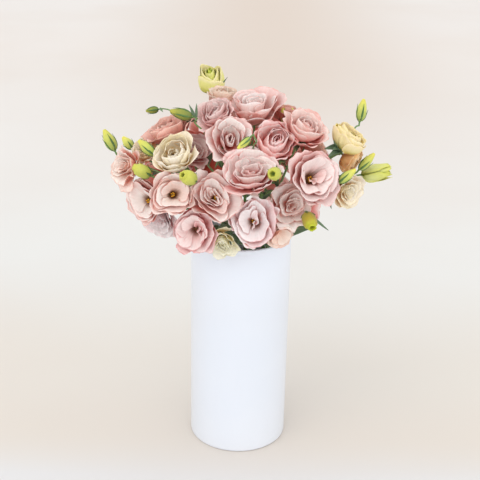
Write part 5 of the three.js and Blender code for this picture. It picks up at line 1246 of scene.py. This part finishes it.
            ("bloom_side_left_high", 1.35, [(-60, -10, 352), (-62.55, -5.55, 357.94), (-65.1, -1.09, 363.89), (-67.65, 3.36, 369.83), (-70.21, 7.82, 375.77), (-72.76, 12.27, 381.72), (-74.04, 14.5, 384.69), (-79.18, 16.56, 388.46)]),
        ],
        leaves=[
            ((-44.13, 3.93, 298.8), (-73.13, 28.26, 302.11), (0.07, -0.06, 1), 13),
            ((-49.98, -1.21, 318.4), (-78.98, 23.13, 321.71), (0.07, -0.06, 1), 13),
        ],
    ),
    "stem_back_left": dict(
        foot=(7.81, 44.32, 6.65),
        axis=[(-24.63, 31.52, 282), (-24.5, 30.42, 298), (-24.37, 29.31, 314), (-24.25, 28.21, 330), (-24.13, 27.1, 346), (-24, 26, 362)],
        stalks=[
            ("bloom_crown_left", 1.35, [(-24, 26, 362), (-22.75, 22.23, 375.14), (-21.51, 18.46, 388.28), (-20.27, 14.68, 401.42), (-19.03, 10.91, 414.56), (-17.79, 7.15, 427.7), (-17.17, 5.26, 434.26), (-19.81, 6.57, 440.28)]),
            ("bloom_back_left", 1.35, [(-24.16, 27.38, 342), (-28.67, 33.8, 345.03), (-33.19, 40.2, 348.07), (-37.7, 46.62, 351.1), (-42.22, 53.04, 354.13), (-46.74, 59.45, 357.16), (-49, 62.66, 358.67), (-52.41, 68.26, 360.03)]),
            ("bloom_back_low_left", 1.35, [(-24.31, 28.76, 322), (-31.73, 30.62, 321.19), (-39.15, 32.48, 320.39), (-46.57, 34.35, 319.58), (-53.98, 36.21, 318.76), (-61.4, 38.08, 317.95), (-65.11, 39.01, 317.54), (-70.56, 42.76, 316.52)]),
            ("bloom_back_low_mid_left", 1.35, [(-24.31, 28.76, 322), (-24.92, 35.6, 322.46), (-25.53, 42.43, 322.93), (-26.13, 49.27, 323.38), (-26.74, 56.1, 323.84), (-27.34, 62.94, 324.3), (-27.65, 66.36, 324.53), (-29.35, 72.7, 323.16)]),
            ("bloom_side_left", 1.35, [(-24.23, 28.07, 332), (-35.41, 28.14, 336.39), (-46.6, 28.2, 340.78), (-57.78, 28.27, 345.17), (-68.96, 28.34, 349.56), (-80.15, 28.41, 353.94), (-85.74, 28.44, 356.13), (-92.02, 30.67, 356.81)]),
            ("bloom_back_top_left", 1.35, [(-24, 26, 362), (-26.45, 29.46, 367.03), (-28.91, 32.92, 372.05), (-31.37, 36.38, 377.07), (-33.82, 39.85, 382.1), (-36.28, 43.31, 387.12), (-37.51, 45.05, 389.63), (-39.89, 49.8, 393.71)]),
            ("bloom_upper_left", 1.35, [(-24, 26, 362), (-24.68, 13.62, 375.44), (-25.37, 1.23, 388.89), (-26.06, -11.15, 402.32), (-26.75, -23.54, 415.76), (-27.44, -35.93, 429.2), (-27.78, -42.12, 435.92), (-29.55, -45.27, 441.56)]),
            ("bud_arch", 1.10, [(-24, 26, 362), (-27.39, 8.16, 375.64), (-30.9, -9.2, 389.23), (-34.68, -25.53, 402.63), (-38.91, -40.35, 415.68), (-43.61, -53.68, 428.39), (-48.91, -65.48, 440.29), (-56.51, -58.85, 445.36), (-53.49, -55.54, 449.59), (-58.75, -55.55, 451.02)]),
            ("bud_arch_tip", 0.90, [(-54.54, -57.8, 447.85), (-61.24, -41.09, 443.53), (-70.66, -20.77, 440.52), (-80.9, -5.65, 440.99), (-89.19, 0.86, 443.28), (-97.82, 10.36, 442.31), (-103.7, 13.52, 440.97)]),
            ("bud_opening_top", 1.10, [(-24, 26, 362), (-26.27, 32.62, 377.58), (-28.43, 39.1, 392.8), (-30.41, 45.28, 407.27), (-32.12, 51.07, 420.75), (-34.17, 57.06, 432.76), (-36.64, 63.41, 443.66), (-37.46, 64.95, 448.83)]),
        ],
        leaves=[
            ((-24.47, 30.2, 301.2), (-43.4, 62.98, 304.51), (0.04, -0.07, 1), 13),
            ((-24.3, 28.65, 323.6), (-53.3, 52.98, 326.91), (0.07, -0.06, 1), 13),
        ],
    ),
    "stem_back_right": dict(
        foot=(45, 0, 6.65),
        axis=[(26.77, 29.73, 282), (25.81, 29.78, 296), (24.86, 29.84, 310), (23.91, 29.89, 324), (22.95, 29.95, 338), (22, 30, 352)],
        stalks=[
            ("bloom_back_crown", 1.35, [(22, 30, 352), (18.63, 32.64, 360.96), (15.25, 35.29, 369.92), (11.88, 37.93, 378.88), (8.5, 40.58, 387.84), (5.13, 43.23, 396.8), (3.44, 44.56, 401.28), (3.78, 47.92, 407.07)]),
            ("bloom_back_centre", 1.35, [(22.6, 29.97, 343.25), (18.49, 38.65, 346.41), (14.38, 47.34, 349.56), (10.27, 56.03, 352.71), (6.16, 64.72, 355.87), (2.05, 73.41, 359.01), (0, 77.75, 360.59), (0, 84.31, 361.94)]),
            ("bloom_back_right", 1.35, [(23.19, 29.93, 334.5), (27.54, 36.23, 338.84), (31.89, 42.54, 343.17), (36.24, 48.85, 347.51), (40.59, 55.15, 351.84), (44.94, 61.46, 356.17), (47.12, 64.62, 358.33), (50.49, 70.21, 359.82)]),
            ("bloom_back_low_right", 1.35, [(24.38, 29.86, 317), (31.37, 31.41, 316.38), (38.36, 32.95, 315.77), (45.36, 34.49, 315.15), (52.35, 36.03, 314.53), (59.34, 37.58, 313.9), (62.84, 38.35, 313.59), (68.23, 42.19, 312.58)]),
            ("bloom_back_low_mid_right", 1.35, [(24.38, 29.86, 317), (24.58, 36.76, 318.54), (24.78, 43.65, 320.09), (24.99, 50.55, 321.63), (25.19, 57.45, 323.16), (25.39, 64.35, 324.7), (25.49, 67.79, 325.47), (27.2, 74.13, 324.11)]),
            ("bloom_side_right", 1.35, [(23.79, 29.9, 325.75), (33.92, 29.68, 330.17), (44.05, 29.47, 334.59), (54.18, 29.25, 339.01), (64.31, 29.04, 343.43), (74.45, 28.82, 347.84), (79.52, 28.72, 350.04), (85.69, 31.26, 350.58)]),
            ("bloom_back_top_right", 1.35, [(22, 30, 352), (25.93, 32.04, 359.4), (29.86, 34.07, 366.8), (33.79, 36.11, 374.19), (37.73, 38.15, 381.59), (41.66, 40.2, 388.98), (43.63, 41.22, 392.68), (46.32, 45.94, 396.59)]),
        ],
        leaves=[
            ((25.62, 29.79, 298.8), (54.62, 54.12, 302.11), (-0.07, -0.06, 1), 13),
            ((24.29, 29.87, 318.4), (43.22, 62.65, 321.71), (-0.04, -0.07, 1), 13),
        ],
    ),
}
# small leaves between the blooms: owner, foot, tip, facing, width, skin
FILL = [
    ("stem_front_right", (18.1, -40.4, 308.4), (-6.1, -60, 295.4), (0.00, -0.72, 0.69), 12, 2),
    ("stem_front_left", (-16.5, -39.2, 295.8), (10.8, -62, 292.7), (-0.01, -0.72, 0.69), 13, 2),
    ("stem_right_front", (35.5, -23, 296), (25.3, -62, 294.3), (-0.02, -0.72, 0.69), 13, 2),
    ("stem_right_front", (35.5, -23, 296), (36.1, -60, 297.6), (-0.02, -0.72, 0.69), 11, 2),
    ("stem_back_left", (-38.9, -40.4, 415.7), (-39.4, -62, 394.2), (0.03, -0.76, 0.65), 10, 2),
    ("stem_back_left", (-34.7, -25.5, 402.6), (-36.3, -52, 400.8), (0.02, -0.76, 0.64), 8, 2),
    ("stem_centre", (-17.6, -65.6, 423.2), (-31.6, -88, 400.5), (0.02, -0.76, 0.65), 6.5, 1),
    ("stem_right_front", (62.5, -36, 411.7), (71.6, -60, 423.9), (-0.05, -0.77, 0.63), 10, 2),
    ("stem_right_front", (66.5, -39.9, 423.2), (61.3, -66, 414.7), (-0.04, -0.77, 0.64), 9, 2),
    ("stem_right", (118.4, -36.8, 409.6), (108.6, -60, 424.7), (-0.08, -0.77, 0.63), 11, 2),
    ("stem_right", (119.3, -38.6, 412.2), (94.3, -56, 415.9), (-0.07, -0.77, 0.64), 10, 2),
    ("stem_right", (119.3, -38.6, 412.2), (98, -60, 406.3), (-0.07, -0.76, 0.64), 9, 2),
    ("stem_right", (119.3, -38.6, 412.2), (102.9, -64, 417.3), (-0.07, -0.77, 0.64), 9, 2),
    ("stem_centre", (9.3, -61.2, 404.3), (4.5, -84, 421.4), (-0.00, -0.77, 0.64), 10, 2),
    ("stem_centre", (27.4, -58.7, 412.1), (21.5, -84, 425.3), (-0.02, -0.77, 0.64), 10, 2),
    ("stem_centre", (29.7, -65.5, 418.5), (14.8, -88, 419.3), (-0.01, -0.77, 0.64), 8, 2),
    ("stem_right_front", (48.3, -12.2, 429.9), (47.5, -18, 456.3), (-0.03, -0.79, 0.61), 5, 3),
    ("stem_right_front", (47.8, -12.8, 426.7), (56.2, -12, 450), (-0.04, -0.79, 0.62), 5, 3),
    ("stem_back_left", (-103.7, 13.5, 441), (-97.3, -4, 442.2), (0.07, -0.78, 0.62), 3.5, 1),
    ("stem_left_front", (-51.2, -40.4, 365), (-54.1, -70, 367), (0.04, -0.75, 0.66), 10, 2),
    ("stem_centre", (27.4, -58.7, 412.1), (49.7, -78, 405), (-0.03, -0.76, 0.65), 10, 1),
    ("stem_right", (98.2, -41.7, 365.1), (107.4, -52, 340), (-0.07, -0.74, 0.67), 4, 2),
    ("stem_front_left", (-20, -44, 328), (-9.9, -72, 317), (0.01, -0.73, 0.68), 13, 2),
    ("stem_front_left", (-29.3, -56.6, 312.7), (-3.9, -76, 317.5), (0.00, -0.73, 0.69), 13, 2),
    ("stem_front_left", (-19.5, -43.3, 323.4), (-11, -66, 303), (0.01, -0.72, 0.69), 12, 2),
    ("stem_left", (-101.6, -35.2, 374.8), (-106.3, -60, 379.7), (0.07, -0.75, 0.65), 7, 2),
    ("stem_back_left", (-55.6, -55.5, 450.2), (-63.2, -52.5, 464.8), (0.05, -0.97, 0.25), 3.2, 2),
    ("stem_back_left", (-54.5, -55.5, 449.9), (-54.6, -52.5, 466.1), (0.05, -0.97, 0.25), 3, 2),
    ("stem_right_front", (78.3, -92.8, 347.7), (101.8, -88.8, 326.9), (-0.09, -0.93, 0.37), 3, 2),
    ("stem_front_right", (39.5, -87, 328.2), (64.7, -91, 332.6), (-0.06, -0.93, 0.37), 4, 2),
    ("stem_back_left", (-37.5, 65, 448.8), (-43.2, 48, 444.2), (0.03, -0.97, 0.25), 3.4, 2),
    ("stem_back_left", (-37.5, 65, 448.8), (-38.4, 44, 441.5), (0.03, -0.97, 0.25), 3.8, 2),
    ("stem_back_left", (-37.5, 65, 448.8), (-21.3, 60, 471.6), (0.02, -0.97, 0.23), 1.8, 2),
    ("stem_right_front", (35.5, -23, 296), (84, -52, 314.4), (0.1, -0.80, 0.60), 27, 2),
]



# ------------------------------------------------------------------ tones of the petals
# face, rim, fold, base, and the throat's and the back's colours where they differ
# the crease and pit colours, and how strongly they mix in, are painted shade in the creases
TONES = {
    "blush": dict(face=(254, 246, 238), rim=(252, 243, 239), fold=(226, 136, 122), base=(232, 216, 168), outer_deep=0.06, shade_strength=0.55, crease=(244, 152, 130), heart=(238, 184, 172), pit=(216, 110, 96)),
    "beige": dict(face=(232, 208, 186), rim=(238, 216, 196), fold=(198, 138, 112), base=(206, 190, 146), shade_strength=0.65, outer_deep=0.14),
    "mauve": dict(face=(245, 212, 204), rim=(250, 229, 222), fold=(194, 104, 102), base=(217, 194, 159), shade_strength=0.6),
    "pink": dict(face=(252, 236, 227), rim=(253, 244, 237), fold=(212, 108, 96), base=(200, 130, 112), shade_strength=0.55, heart=(240, 200, 192), pit=(196, 82, 72)),
    "pink2": dict(face=(253, 234, 227), rim=(254, 238, 232), fold=(232, 134, 130), base=(222, 160, 140), heart=(240, 172, 166), shade_strength=0.62, outer_deep=0.14, pit=(214, 96, 88)),
    "rose": dict(face=(254, 210, 202), rim=(253, 230, 226), fold=(232, 108, 100), base=(212, 130, 118), shade_strength=0.6),
    "rosedark": dict(face=(240, 184, 168), rim=(236, 186, 170), fold=(190, 104, 90), base=(193, 133, 106), shade_strength=0.45),
    "salmon": dict(face=(250, 211, 201), rim=(251, 228, 220), fold=(226, 122, 106), base=(227, 180, 143), shade_strength=0.6),
    "salmon2": dict(face=(251, 232, 219), rim=(252, 240, 230), fold=(226, 118, 98), base=(237, 191, 159)),
    "salmon3": dict(face=(232, 176, 160), rim=(242, 200, 184), fold=(206, 106, 92), base=(222, 170, 135), crease=(212, 122, 104), shade_strength=0.6),
    "palesalmon": dict(face=(255, 244, 236), rim=(255, 240, 232), fold=(250, 168, 150), base=(244, 200, 180), heart=(253, 196, 180), outer_deep=0.0, shade_strength=0.44, crease=(255, 182, 162), pit=(240, 134, 114)),
    "flatpeach": dict(face=(250, 216, 198), rim=(251, 226, 210), fold=(234, 146, 116), base=(236, 200, 160), outer_deep=0.05, shade_strength=0.3),
    "salmonpeach": dict(face=(255, 243, 229), rim=(255, 238, 226), fold=(246, 160, 134), base=(240, 206, 162), outer_deep=0.0, crease=(255, 190, 164), shade_strength=0.36, glow=0.2, pit=(246, 150, 124)),
    "peach": dict(face=(255, 243, 212), rim=(255, 244, 222), fold=(250, 200, 130), base=(238, 211, 149), outer_deep=0.0, crease=(254, 214, 158), shade_strength=0.36, glow=0.2, pit=(246, 184, 124)),
    "cream": dict(face=(255, 250, 234), rim=(255, 236, 222), fold=(255, 232, 178), base=(244, 218, 136), heart=(255, 242, 196), outer_deep=0.0, crease=(255, 232, 158), shade_strength=0.36, pit=(248, 204, 118), glow=0.2),
    "creampeach": dict(face=(255, 250, 232), rim=(255, 240, 226), fold=(255, 222, 158), base=(232, 212, 130), heart=(252, 236, 194), outer_deep=0.0, crease=(255, 226, 176), shade_strength=0.36, glow=0.2, pit=(250, 196, 134)),
    "yellow": dict(face=(255, 252, 228), rim=(255, 250, 228), fold=(252, 242, 180), base=(228, 214, 130), outer_deep=0.0, crease=(254, 238, 166), shade_strength=0.34, glow=0.2, pit=(242, 212, 124)),
    "butter": dict(face=(245, 228, 154), rim=(248, 220, 178), fold=(238, 216, 92), base=(204, 208, 100), back=(247, 231, 160), heart=(226, 216, 84), outer_deep=0.1, crease=(240, 222, 96), pit=(220, 186, 56)),
    "orange": dict(face=(252, 208, 150), rim=(250, 214, 168), fold=(228, 152, 84), base=(206, 184, 98), back=(250, 182, 110), crease=(236, 148, 76), outer_deep=0.0, shade_strength=0.4, glow=0.2, pit=(206, 118, 56)),
    "lav": dict(face=(255, 248, 246), rim=(255, 250, 248), fold=(250, 194, 196), base=(231, 208, 175), outer_deep=0.0, shade_strength=0.24, crease=(252, 204, 204), glow=0.2, pit=(240, 168, 168)),
    "pale_throat": dict(face=(241, 212, 206), rim=(245, 222, 217), fold=(218, 138, 132), base=(176, 140, 84), throat=(124, 80, 44)),
    "white_throat": dict(face=(253, 236, 227), rim=(254, 240, 232), fold=(232, 150, 138), heart=(244, 206, 196), base=(176, 132, 84), throat=(124, 80, 44)),
    "lav_throat": dict(face=(252, 238, 238), rim=(253, 245, 244), fold=(222, 148, 148), base=(180, 146, 92), throat=(124, 80, 44)),
    "warm_throat": dict(face=(247, 222, 211), rim=(251, 233, 224), fold=(224, 142, 124), base=(172, 132, 72), throat=(120, 76, 30)),
    "lavpink_throat": dict(face=(247, 202, 196), rim=(249, 220, 215), fold=(210, 92, 94), base=(196, 150, 110), throat=(122, 78, 48)),
    "bud_open": dict(face=(230, 236, 172), rim=(218, 212, 100), fold=(184, 194, 74), base=(120, 152, 66), back=(226, 232, 154), heart=(150, 160, 40), outer_deep=0.0, crease=(150, 160, 50), pit=(150, 156, 40)),
    "bud_blush": dict(face=(246, 230, 204), rim=(240, 222, 168), fold=(200, 198, 62), base=(150, 170, 70), back=(206, 208, 82), heart=(160, 178, 24), outer_deep=0.0, crease=(150, 158, 24), steep=0.95, shade_strength=0.7, pit=(132, 140, 16)),
}
# the sweep from the front to the back, and its warmer middle far behind: painted light and shade for the uneven light
# on the backdrop
FLOOR = [(0.0, (221, 221, 222)), (0.12, (220, 213, 205)), (0.22, (221, 216, 209)), (0.38, (223, 223, 221)), (0.62, (223, 220, 217)), (0.85, (223, 218, 214)), (1.0, (223, 219, 216))]
FLOOR_WARM = (213, 201, 191)

petals = {}
for name, tone in TONES.items():
    petals[name] = petal_material("petal_" + name, **dict(dict(glow=0.14), **tone))
stalk = green_material("stalk_green", (126, 158, 98), (112, 146, 84), (78, 112, 66))
leaf_green = green_material("leaf_green", (84, 112, 78), (96, 124, 88), (46, 70, 48), veins=1.0, gloss=0.46, glow=0.12)
sepal_green = green_material("sepal_green", (96, 128, 70), (84, 122, 66), (56, 88, 50), veins=0.4, gloss=0.45)
bud_skins = {
    "lime": bud_material("bud_lime", (156, 176, 92), (212, 214, 106), (232, 222, 98), (160, 176, 72), hollow_tone_and_shade=(120, 146, 40)),
    "yellow": bud_material("bud_yellow", (156, 172, 76), (202, 202, 96), (206, 204, 84), (160, 172, 64), hollow_tone_and_shade=(58, 92, 22)),
    "ochre": bud_material("bud_ochre", (156, 150, 70), (178, 160, 54), (186, 194, 46), (142, 130, 42), hollow_tone_and_shade=(74, 106, 12)),
    "olive": bud_material("bud_olive", (112, 126, 62), (156, 158, 66), (190, 184, 72), (96, 112, 50), hollow_tone_and_shade=(90, 110, 40)),
}
gold = anther_material()
pistil = bud_material("pistil_olive", (108, 92, 44), (140, 120, 54), (168, 146, 66), (104, 84, 40))
glaze = glaze_material()


def profile_radius(h):
    """The outer radius of the plain cup that a bloom stands for, in shares of its size."""
    return np.interp(h, [0.0, 0.001, 0.17, 0.40, 0.76, 0.94, 0.95], [0.0, 0.10, 0.34, 0.66, 0.92, 0.90, 0.5])


CUPS = [(n, np.array(b["base"]) * MM, frame_of(b["axis"]), b["R"] * MM) for n, b in BLOOMS.items()]
KEEP = 0.955


def blur(D, rounds):
    for _ in range(rounds):
        D = np.concatenate([D[:1], (D[:-2] + 2 * D[1:-1] + D[2:]) / 4, (D[-2:-1] + D[-1:]) / 2])
        D = np.concatenate(
            [(D[:, :1] + D[:, 1:2]) / 2, (D[:, :-2] + 2 * D[:, 1:-1] + D[:, 2:]) / 4, (D[:, -2:-1] + D[:, -1:]) / 2], 1
        )
    return D


def giving_way(own):
    """Moves a petal's grid clear of the neighbouring cups, smoothly."""

    def give(X):
        shape = X.shape
        for rounds, k in ((4, 1.25), (2, 1.1), (1, 1.0)):
            D = clear_of_neighbours(X.reshape(-1, 3), own).reshape(shape) - X
            if not np.abs(D).max() > 1e-7:
                break
            X = X + k * blur(D, rounds)
        return X

    return give


def clear_of_neighbours(V, own):
    """Petals give way where a neighbouring bloom's cup stands, as they do in a full bunch."""
    V = V.copy()
    lo, hi = V.min(0), V.max(0)
    for n, base, F, R in CUPS:
        if n == own:
            continue
        mid = base + F[:, 2] * R * 0.5
        if np.any(mid < lo - 1.3 * R) or np.any(mid > hi + 1.3 * R):
            continue
        q = (V - base) @ F / (R * KEEP)
        rho = np.hypot(q[:, 0], q[:, 1])
        z = q[:, 2]
        c = profile_radius(z) + 0.02
        inside = (z > 0.0) & (z < 0.95) & (rho < c)
        if not inside.any():
            continue
        dr = np.where(inside, c - rho, 0)
        dz = np.where(inside, 0.955 - z, 0)
        up = inside & (dz < 0.6 * dr)
        side = inside & ~up
        k = np.where(rho > 1e-6, (rho + dr) / np.maximum(rho, 1e-6), 1.0)
        q2 = q.copy()
        q2[side, 0] *= k[side]
        q2[side, 1] *= k[side]
        q2[up, 2] += dz[up]
        V = np.where(inside[:, None], q2 @ F.T * (R * KEEP) + base, V)
    return V


pieces = {}


def keep(ob, slot_name, *nodes):
    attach(ob, "root")
    if nodes:
        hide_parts(*nodes)
    pieces[ob.name] = ob


# the blooms
frames, grown = {}, {}
for name, spec in BLOOMS.items():
    rng = np.random.default_rng(spec["seed"])
    s = dict(spec)
    s["base"] = np.array(spec["base"]) * MM
    s["R"] = spec["R"] * MM * 1.0
    s["H"] = s["R"]
    bd = Build()
    F, base, sheets = make_bloom(bd, s, rng, give=giving_way(name))
    frames[name] = (F, base, s["R"], s["H"])
    grown[name] = (bd, sheets)
    if spec.get("stamens"):
        sd = Build()
        stamens(sd, base, F, s["R"], s["H"], rng)
        keep(sd.make(name + "_stamens", [gold, pistil]), "bud_green")

# so do the buds that have begun to open
opened = {}
for name, spec in BUDS.items():
    if spec["kind"] == "open" and not spec["merged"]:
        rng = np.random.default_rng(len(name) * 131 + sum(map(ord, name)))
        s = dict(spec, base=np.array(spec["base"]) * MM, R=spec["R"] * MM, H=spec["H"] * MM * spec.get("longer", 1.0))
        s.update(style=spec.get("form", "cup"), roll=0.5)
        bd = Build()
        opened[name] = (bd, *make_bloom(bd, s, rng), s)

# how deeply each stretch of petal lies among all the petals around it, for the painted shade in the creases
points, quads = [], []
for bd, sheets in [*grown.values(), *((o[0], o[3]) for o in opened.values())]:
    for X, _, _ in sheets:
        m, n = X.shape[:2]
        idx = np.arange(m * n).reshape(m, n) + len(points)
        points.extend(map(tuple, X.reshape(-1, 3)))
        quads.extend(map(tuple, np.stack([idx[:-1, :-1], idx[:-1, 1:], idx[1:, 1:], idx[1:, :-1]], -1).reshape(-1, 4)))
tree = BVHTree.FromPolygons(points, [tuple(int(i) for i in q) for q in quads])
for name, (bd, sheets) in grown.items():
    F, base, R, H = frames[name]
    for X, thick, vals in sheets:
        bd.sheet(X, thick, dict(vals, tuck=tucked(tree, X, F, 0.9 * R)))
    keep(bd.make(name + "_petals", [petals[BLOOMS[name]["tone"]]]), BLOOMS[name]["slot"], name)

# the buds that stand free
shown = {}
for name, spec in BUDS.items():
    rng = np.random.default_rng(len(name) * 131 + sum(map(ord, name)))
    s = dict(spec, base=np.array(spec["base"]) * MM, R=spec["R"] * MM, H=spec["H"] * MM)
    if spec["merged"]:
        continue
    bd = Build()
    if spec["kind"] == "open":
        bd, F, base, sheets, s = opened[name]
        for X, thick, vals in sheets:
            bd.sheet(X, thick, dict(vals, tuck=tucked(tree, X, F, 0.9 * s["R"])))
        shown[name] = (F, base)
        calyx(bd, base, F, s["R"] * 0.95, s["H"] * 0.85, rng, mat=1)
        keep(bd.make(name + "_furled", [petals[spec["tone"]], sepal_green]), "bud_green", name)
    else:
        make_bud(bd, s, rng)
        keep(bd.make(name + "_furled", [bud_skins[spec["skin"]], sepal_green]), "bud_green", name)

# the stems with their stalks, calyces, small buds and leaves
for name, st in STEMS.items():
    rng = np.random.default_rng(sum(map(ord, name)) * 7)
    bd = Build()
    foot, A = np.array(st["foot"]) * MM, np.array(st["axis"]) * MM
    low = np.vstack([foot, A[0]])
    C = np.vstack([foot + (A[0] - foot) * x for x in np.linspace(0, 0.985, 26)])
    rad = 0.00235 + 0.00010 * np.sin(np.linspace(0, 40, 26))
    rad[8] += 0.0005
    rad[17] += 0.0005
    bd.tube(C, rad, 10, dict(shade=0.35))
    start = A[0] + unit(foot - A[0]) * 0.004
    C = spline(np.vstack([start, A[1:]]), 30)
    bd.tube(C, np.linspace(0.0022, 0.0017, 30), 10, dict(shade=rng.uniform(0.1, 0.5)))
    for target, r, path in st["stalks"]:
        P = np.array(path) * MM
        if target in frames and "leans" in BLOOMS[target]:
            F, base = frames[target][:2]
            P = np.vstack([P[:-2], base - F[:, 2] * 0.005, base])
        if target in shown:
            F, base = shown[target]
            P = np.vstack([P[:-2], base - F[:, 2] * 0.004, base + F[:, 2] * 0.001])
        n = 26 if len(path) > 4 else 20
        C = spline(P, n)
        rr = np.linspace(r * MM * 1.12, r * MM * 0.88, n)
        rr[-2:] *= 1.18
        bd.tube(C, rr, 7, dict(shade=rng.uniform(0.0, 0.6)))
        # a pair of small leaves where the stalk forks off
        along = unit(C[2] - C[0])
        for sgn in (1, -1):
            out = unit(np.cross(along, [0.2, 0.3, 0.93]) * sgn + rng.normal(0, 0.25, 3))
            bract(bd, C[1], along, out, rng.uniform(0.008, 0.014), rng.uniform(0.0022, 0.0036), rng, mat=2)
        if target in frames:
            F, base, R, H = frames[target]
            calyx(bd, base, F, R, H, rng, mat=1)
        else:
            b = BUDS[target]
            if len(C) > 18 and rng.uniform() < 0.8:
                i = int(n * 0.62)
                along = unit(C[i + 1] - C[i])
                out = unit(rng.normal(0, 1, 3))
                bract(bd, C[i], along, out, rng.uniform(0.005, 0.009), 0.0016, rng, mat=2)
            if b["merged"]:
                s = dict(b, base=np.array(b["base"]) * MM, R=b["R"] * MM, H=b["H"] * MM)
                make_bud(bd, s, rng, mat=3, green=1)
    for base, tip, nrm, w in st["leaves"]:
        leaf(bd, np.array(base) * MM, np.array(tip) * MM, nrm, w * MM * 1.15, rng, mat=2)
    for owner, base, tip, nrm, w, mat in FILL:
        if owner == name:
            leaf(bd, np.array(base) * MM, np.array(tip) * MM, nrm, w * MM, rng, mat=mat, give=giving_way(None))
    skin = next((BUDS[t]["skin"] for t, _, _ in st["stalks"] if t in BUDS and BUDS[t]["merged"]), "lime")
    keep(bd.make(name + "_green", [stalk, sepal_green, leaf_green, bud_skins[skin]]), "foliage", name)


# ------------------------------------------------------------------ the vase
def arc(cx, cz, r, a0, a1, n):
    return [(cx + r * math.cos(math.radians(a)), cz + r * math.sin(math.radians(a))) for a in np.linspace(a0, a1, n)]


VR, VH, VW, VF = 0.0635, 0.288, 0.004, 0.006
prof = [(0.0, 0.0012), (0.030, 0.0012), (0.052, 0.0010), (0.0545, 0.0002), (0.0560, 0.0), (0.0595, 0.0)]
prof += arc(VR - 0.0028, 0.0028, 0.0028, -80, 0, 7)
prof += [(VR, z) for z in np.linspace(0.012, 0.272, 14)]
prof += [(VR, 0.2795), (VR - 0.00008, 0.2818), (VR - 0.00034, 0.2828), (VR - 0.00034, 0.2832), (VR - 0.00008, 0.2842), (VR, 0.2852)]
prof += arc(VR - 0.0020, VH - 0.0020, 0.0020, 0, 180, 11)
prof += [(VR - VW, 0.284), (VR - VW, 0.270)] + [(VR - VW, z) for z in np.linspace(0.24, 0.03, 8)]
prof += arc(VR - VW - 0.006, VF + 0.006, 0.006, 0, -90, 6) + [(0.030, VF), (0.0, VF)]
bd = Build()


def hand_made(th, z):
    return 1 + 0.0009 * np.sin(2 * th + 0.7 + 9 * z) + 0.0005 * np.sin(3 * th + 30 * z)


bd.lathe(prof, 192, np.zeros(3), np.eye(3), wob=hand_made)
vase = bd.make("vase_body", [glaze])
keep(vase, "glaze", "vase")

# ------------------------------------------------------------------ the set: a pale sweep, soft light, the camera
scene = bpy.context.scene
scene.view_settings.view_transform = "Standard"
scene.cycles.diffuse_bounces = 6
me = bpy.data.meshes.new("floor")
n = 96
ring = [(9 * math.cos(2 * math.pi * i / n), 9 * math.sin(2 * math.pi * i / n), -0.0002) for i in range(n)]
me.from_pydata(ring, [], [list(range(n))])
me.materials.append(floor_material())
floor = bpy.data.objects.new("floor", me)
scene.collection.objects.link(floor)

world = bpy.data.worlds.new("studio")
scene.world = world
world.use_nodes = True
bg = world.node_tree.nodes["Background"]
bg.inputs[0].default_value = (0.992, 0.99, 0.985, 1)
bg.inputs[1].default_value = 1.00


def aim(ob, at):
    ob.rotation_mode = "QUATERNION"
    ob.rotation_quaternion = (Vector(at) - Vector(ob.location)).to_track_quat("-Z", "Y")


sun = bpy.data.lights.new("window_light", "SUN")
sun.energy = 0.60
sun.angle = math.radians(50)
sun.color = (1.0, 0.985, 0.965)
so = bpy.data.objects.new("window_light", sun)
so.location = (-1.2, -1.6, 2.2)
aim(so, (0, 0, 0.2))
scene.collection.objects.link(so)

fill = bpy.data.lights.new("front_fill", "SUN")
fill.energy = 0.88
fill.angle = math.radians(70)
fill.color = (0.985, 0.99, 1.0)
fo = bpy.data.objects.new("front_fill", fill)
fo.location = (0.95, -2.2, 0.45)
aim(fo, (0, 0, 0.2))
scene.collection.objects.link(fo)

# soft light back from the walls on both sides
for name, x in (("left_wall", -2.2), ("right_wall", 2.2)):
    side = bpy.data.lights.new(name, "SUN")
    side.energy = 0.20
    side.angle = math.radians(60)
    side.color = (0.99, 0.99, 1.0)
    wall = bpy.data.objects.new(name, side)
    wall.location = (x, -0.45, 0.36)
    aim(wall, (0, 0, 0.2))
    scene.collection.objects.link(wall)

PITCH, ROLL, YAW = math.radians(22.38), math.radians(1.16), math.radians(0.073)
place = np.array([0.0, -1.16373, 0.7552])
fwd = np.array([0, math.cos(PITCH), -math.sin(PITCH)])
up = np.array([0, math.sin(PITCH), math.cos(PITCH)])
right = np.array([1.0, 0, 0])
cz, sz = math.cos(YAW), math.sin(YAW)
RZ = np.array([[cz, -sz, 0], [sz, cz, 0], [0, 0, 1]])
fwd, up, right = RZ @ fwd, RZ @ up, RZ @ right
r2 = math.cos(ROLL) * right + math.sin(ROLL) * up
u2 = -math.sin(ROLL) * right + math.cos(ROLL) * up
cam = bpy.data.cameras.new("camera")
cam.sensor_width = 36
cam.lens = 74.25
co = bpy.data.objects.new("camera", cam)
M = np.eye(4)
M[:3, 0], M[:3, 1], M[:3, 2], M[:3, 3] = r2, u2, -fwd, place
co.matrix_world = Matrix(M.tolist())
scene.collection.objects.link(co)
scene.camera = co
cam.clip_start, cam.clip_end = 0.01, 100
